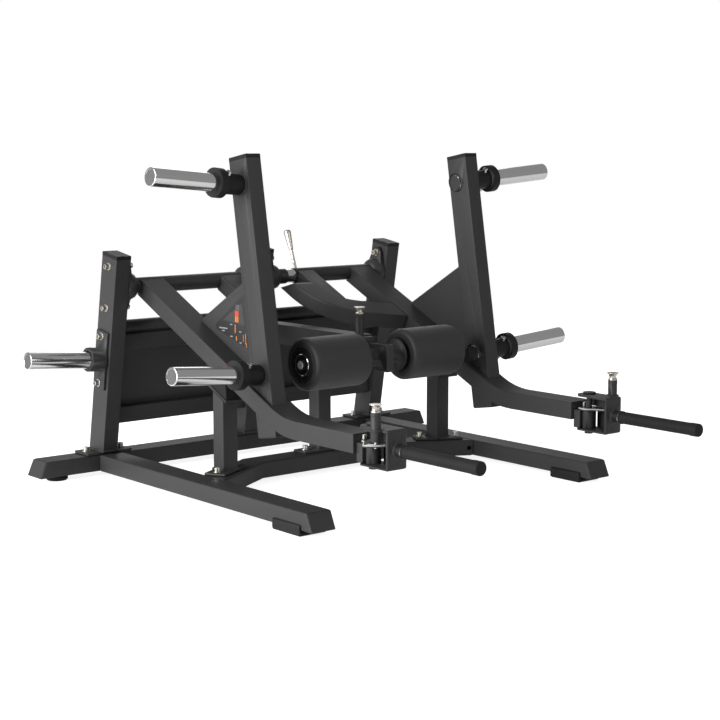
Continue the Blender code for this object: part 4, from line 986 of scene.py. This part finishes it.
# %% End plates
TUBE_WIDTH, TUBE_HEIGHT = 0.080, 0.050
RAIL_SLOPE = math.atan2(0.022, TUBE_HEIGHT)
SET_IN = 0.004
END_THICKNESS = 0.0016
END_EDGE = 0.0007
RAIL_END = Vector((0.519, -0.3225, 0.040))
BEAM_END = Vector((0.746, 0.7405, 0.040))


def end_plate(name, middle, outward):
    lean = outward * math.cos(RAIL_SLOPE) + Z_AXIS * math.sin(RAIL_SLOPE)
    side_way = Z_AXIS.cross(lean).normalized()
    turn = Matrix((side_way, lean.cross(side_way), lean)).transposed().to_4x4()
    size = (TUBE_WIDTH - SET_IN, TUBE_HEIGHT / math.cos(RAIL_SLOPE) - SET_IN, END_THICKNESS)
    shape = put(block(size, END_EDGE, 2), Matrix.Translation(middle) @ turn)
    return finish_piece(name, shape, "powder", "frame")


for side, sign in SIDES:
    mirrored = Matrix.Scale(sign, 4, X_AXIS)
    end_plate(f"{side}_rail_end", mirrored @ RAIL_END, -Y_AXIS)
    end_plate(f"{side}_beam_end", mirrored @ BEAM_END, X_AXIS * sign)

# %% [markdown]
# Welds show wherever two tubes meet. A bead round a square tube is a low skirt: a block a little wider
# than the tube, bevelled until its top edge slopes in to the wall. Round a hub it is a turned ring.
# Under black powder a bead is hardly brighter than its surroundings, but it softens the corner.

# %% Weld beads
BEAD = 0.0042
BEAD_BEVEL = BEAD * 0.85
HUB_BEAD = 0.0036
UPRIGHT_TUBE = (0.050, 0.0812)
POST_TUBE = (0.050, 0.050)
ARM_OUTER_X = 0.4310


def square_bead(name, middle, tube):
    """A skirt round a tube of the frame, standing on the face that its middle lies on."""
    shape = block((tube[0] + 2 * BEAD, tube[1] + 2 * BEAD, 2 * BEAD), BEAD_BEVEL)
    return finish_piece(name, put(shape, Matrix.Translation(middle)), "powder", "frame")


def hub_bead(side, which):
    inside = HUB_RADIUS - 0.001
    profile = rounded((HUB_RADIUS, 0), HUB_BEAD, -90, 90, 6) + [(inside, HUB_BEAD), (inside, -HUB_BEAD)]
    shape = turned(profile, *at_x(f"{side}_{which}_weight_peg", ARM_OUTER_X))
    return finish_piece(f"{side}_{which}_hub_weld", shape, "powder", f"{side}_lever")


def frame_beads():
    for name, x in (("left", -UPRIGHT_X), ("centre", 0), ("right", UPRIGHT_X)):
        square_bead(f"{name}_upright_weld", (x, UPRIGHT_FOOT_Y, PLATE_TOP), UPRIGHT_TUBE)
    for side, sign in SIDES:
        square_bead(f"{side}_post_weld", (sign * FRONT_POST[0], FRONT_POST[1], PLATE_TOP), POST_TUBE)
    square_bead("centre_post_weld", (0, CENTRE_POST_Y, PLATE_TOP), POST_TUBE)


frame_beads()
for side, _ in SIDES:
    for which in ("upper", "lower"):
        hub_bead(side, which)

# %% [markdown]
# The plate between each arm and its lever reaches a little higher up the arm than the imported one. A
# strip continues it. It is a hair thicker, so that no two faces lie in one plane, and its upper edge
# starts at the same point of the lever. One face is drawn from its corners and extruded along X.

# %% Upper edge of the arm plates
STRIP_CORNERS = ((0.4045, 0.4870), (0.1372, 0.6420), (0.1200, 0.6420), (0.1200, 0.6180), (0.1400, 0.6172))
HAIR = 0.0001


def sheet(corners, x, thickness):
    """A flat outline of (y, z) corners at x, extruded along X by a thickness."""
    shape = bmesh.new()
    face = shape.faces.new([shape.verts.new((x, y, z)) for y, z in corners])
    grown = bmesh.ops.extrude_face_region(shape, geom=[face])
    moved = [item for item in grown["geom"] if isinstance(item, bmesh.types.BMVert)]
    bmesh.ops.translate(shape, vec=(thickness, 0, 0), verts=moved)
    return shape


def plate_strip(side):
    low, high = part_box(f"{side}_gusset")
    shape = sheet(STRIP_CORNERS, low.x - HAIR, high.x - low.x + 2 * HAIR)
    return finish_piece(f"{side}_gusset_strip", shape, "powder", f"{side}_lever")


for side, _ in SIDES:
    plate_strip(side)

# %% [markdown]
# A small panel lies on the plate between the left arm and its lever: a dark field with plain coloured
# bars. Its print is matt and a little worn, so each colour is a material of its own with a fine noise
# between the full colour and a darker one.

# %% Colours of the panel
PANEL_COLOURS = {
    "panel_field": (0.018, 0.018, 0.019),
    "panel_inner": (0.040, 0.040, 0.042),
    "panel_red": (0.62, 0.055, 0.030),
    "panel_orange": (0.66, 0.20, 0.020),
    "panel_grey": (0.26, 0.26, 0.26),
    "panel_dim": (0.085, 0.085, 0.087),
}
WORN_SHADE = 0.72


def printed(name, colour):
    surface = Surface(name, colour, 0.42)
    wear = surface.noise(260.0, 4.0)
    worn = tuple(channel * WORN_SHADE for channel in colour)
    surface.set("Base Color", surface.tint(wear, colour, worn))
    surface.set("Roughness", 0.34 + wear * 0.16)
    return surface


for name, colour in PANEL_COLOURS.items():
    FINISH[name] = printed(name, colour)
print(len(PANEL_COLOURS), "printed colours")

# %% [markdown]
# The field and a paler one inside it are flat outlines, drawn from their corners. Each bar is a thin
# block on them. One table gives every bar its colour, its middle on the plate, and its size.

# %% Fields and bars of the panel
GUSSET_FACE_X = -0.3817
SUNK = 0.0002
FIELD_PROUD = 0.0004
INNER_PROUD = 0.0006
BAR_PROUD = 0.0009
BAR_THICKNESS = 0.0005
BAR_EDGE = 0.0002
FIELD_CORNERS = ((0.3367, 0.4772), (0.1965, 0.5732), (0.1737, 0.4207), (0.3300, 0.4640))
INNER_CORNERS = ((0.2050, 0.5480), (0.1926, 0.4847), (0.2980, 0.4939))
PANEL_BARS = (
    ("panel_red", 0.2298, 0.5168, 0.0175, 0.0146),
    ("panel_orange", 0.2342, 0.5004, 0.0076, 0.0165),
    ("panel_orange", 0.2250, 0.5004, 0.0062, 0.0165),
    ("panel_dim", 0.2259, 0.5338, 0.0180, 0.0160),
    ("panel_orange", 0.2378, 0.4724, 0.0040, 0.0240),
    ("panel_orange", 0.2321, 0.4460, 0.0044, 0.0130),
    ("panel_orange", 0.1990, 0.4490, 0.0022, 0.0200),
    ("panel_orange", 0.1880, 0.4480, 0.0028, 0.0300),
    ("panel_orange", 0.1835, 0.4306, 0.0026, 0.0120),
    ("panel_grey", 0.2569, 0.4838, 0.0108, 0.0034),
    ("panel_grey", 0.2135, 0.4662, 0.0108, 0.0032),
    ("panel_grey", 0.2561, 0.4500, 0.0120, 0.0036),
    ("panel_grey", 0.2120, 0.4352, 0.0108, 0.0032),
    ("panel_grey", 0.2957, 0.4706, 0.0400, 0.0040),
    ("panel_grey", 0.2957, 0.4632, 0.0139, 0.0036),
)


def panel_sheet(name, corners, proud):
    """A field of the panel. Its lower face is sunk in the plate, so that no gap shows."""
    shape = sheet(corners, GUSSET_FACE_X + SUNK, -SUNK - proud)
    return finish_piece(name, shape, name, "left_lever")


def panel_bar(name, finish, y, z, width, height):
    shape = block((BAR_THICKNESS, width, height), BAR_EDGE, 1)
    spot = Matrix.Translation((GUSSET_FACE_X - BAR_PROUD, y, z))
    return finish_piece(name, put(shape, spot), finish, "left_lever")


panel_sheet("panel_field", FIELD_CORNERS, FIELD_PROUD)
panel_sheet("panel_inner", INNER_CORNERS, INNER_PROUD)
for number, (finish, y, z, width, height) in enumerate(PANEL_BARS):
    panel_bar(f"panel_bar_{number}", finish, y, z, width, height)

# %% [markdown]
# The studio has a pale floor that keeps a soft shadow. The floor glows for the camera, so that it meets
# the white background without an edge, and glows less in reflections. To the lamps it is plain matt
# white, and it lies just under the feet.

# %% Floor
FLOOR_SIZE = 3.4
FLOOR_DROP = 0.0005
FLOOR_SEEN = 0.85
FLOOR_MIRRORED = 0.30


def stage_floor():
    shape = bmesh.new()
    bmesh.ops.create_grid(shape, x_segments=1, y_segments=1, size=FLOOR_SIZE)
    mesh = bpy.data.meshes.new("floor")
    shape.to_mesh(mesh)
    shape.free()
    floor = bpy.data.objects.new("floor", mesh)
    floor.location.z = -FLOOR_DROP
    bpy.context.scene.collection.objects.link(floor)
    surface = Surface("pale_floor", (0.80, 0.80, 0.80), 0.9)
    paths = surface.tree.nodes.new("ShaderNodeLightPath")
    seen = Sum(surface, paths.outputs["Is Camera Ray"]) * FLOOR_SEEN
    mirrored = Sum(surface, paths.outputs["Is Glossy Ray"]) * FLOOR_MIRRORED
    glow = surface.node("ShaderNodeEmission", inputs={"Color": (1, 1, 1, 1), "Strength": seen + mirrored})
    both = surface.node("ShaderNodeAddShader", inputs={0: glow})
    surface.tree.links.new(surface.shader.outputs[0], both.socket.node.inputs[1])
    surface.tree.links.new(both.socket, surface.tree.nodes["Material Output"].inputs["Surface"])
    mesh.materials.append(surface.material)


stage_floor()

# %% [markdown]
# A large lamp on the left lights the sides that face it, and the three others only lift the shadows a
# little. Large lamps make the soft shadows and the long highlights of a product photograph.

# %% Lamps


def soft_lamp(name, place, target, size, watts):
    lamp = bpy.data.lights.new(name, "AREA")
    lamp.shape = "RECTANGLE"
    lamp.size, lamp.size_y = size
    lamp.energy = watts
    holder = bpy.data.objects.new(name, lamp)
    holder.location = place
    holder.rotation_euler = (Vector(target) - Vector(place)).to_track_quat("-Z", "Y").to_euler()
    bpy.context.scene.collection.objects.link(holder)


soft_lamp("left_softbox", (-4.6, 0.6, 1.6), (0, 0, 0.4), (4.2, 3.4), 360)
soft_lamp("front_fill", (1.2, -5.0, 2.6), (0, 0, 0.4), (3.0, 2.0), 48)
soft_lamp("top_light", (0.0, 0.8, 4.2), (0, 0, 0), (3.0, 3.0), 6)
soft_lamp("back_rim", (2.6, 3.8, 2.4), (0, 0, 0.5), (2.4, 1.6), 20)

# %% [markdown]
# The camera sees a white world. Reflections see it much darker, and so does every other ray, so the
# world gives an even fill and the lamps give the shapes. The Light Path node tells the rays apart.

# %% World
GLOSSY_WORLD = 0.30
FILL_WORLD = 0.25


def white_world():
    world = bpy.data.worlds.new("studio")
    bpy.context.scene.world = world
    world.use_nodes = True
    nodes, links = world.node_tree.nodes, world.node_tree.links
    background = nodes["Background"]
    background.inputs["Color"].default_value = (1, 1, 1, 1)
    paths = nodes.new("ShaderNodeLightPath")
    seen = nodes.new("ShaderNodeMath")
    seen.operation = "MAXIMUM"
    links.new(paths.outputs["Is Camera Ray"], seen.inputs[0])
    links.new(paths.outputs["Is Transmission Ray"], seen.inputs[1])
    mirror = nodes.new("ShaderNodeMath")
    mirror.operation = "MULTIPLY_ADD"
    links.new(paths.outputs["Is Glossy Ray"], mirror.inputs[0])
    mirror.inputs[1].default_value = GLOSSY_WORLD
    links.new(seen.outputs[0], mirror.inputs[2])
    strength = nodes.new("ShaderNodeMath")
    strength.operation = "MAXIMUM"
    links.new(mirror.outputs[0], strength.inputs[0])
    strength.inputs[1].default_value = FILL_WORLD
    links.new(strength.outputs[0], background.inputs["Strength"])


white_world()
bpy.context.scene.view_settings.view_transform = "Standard"
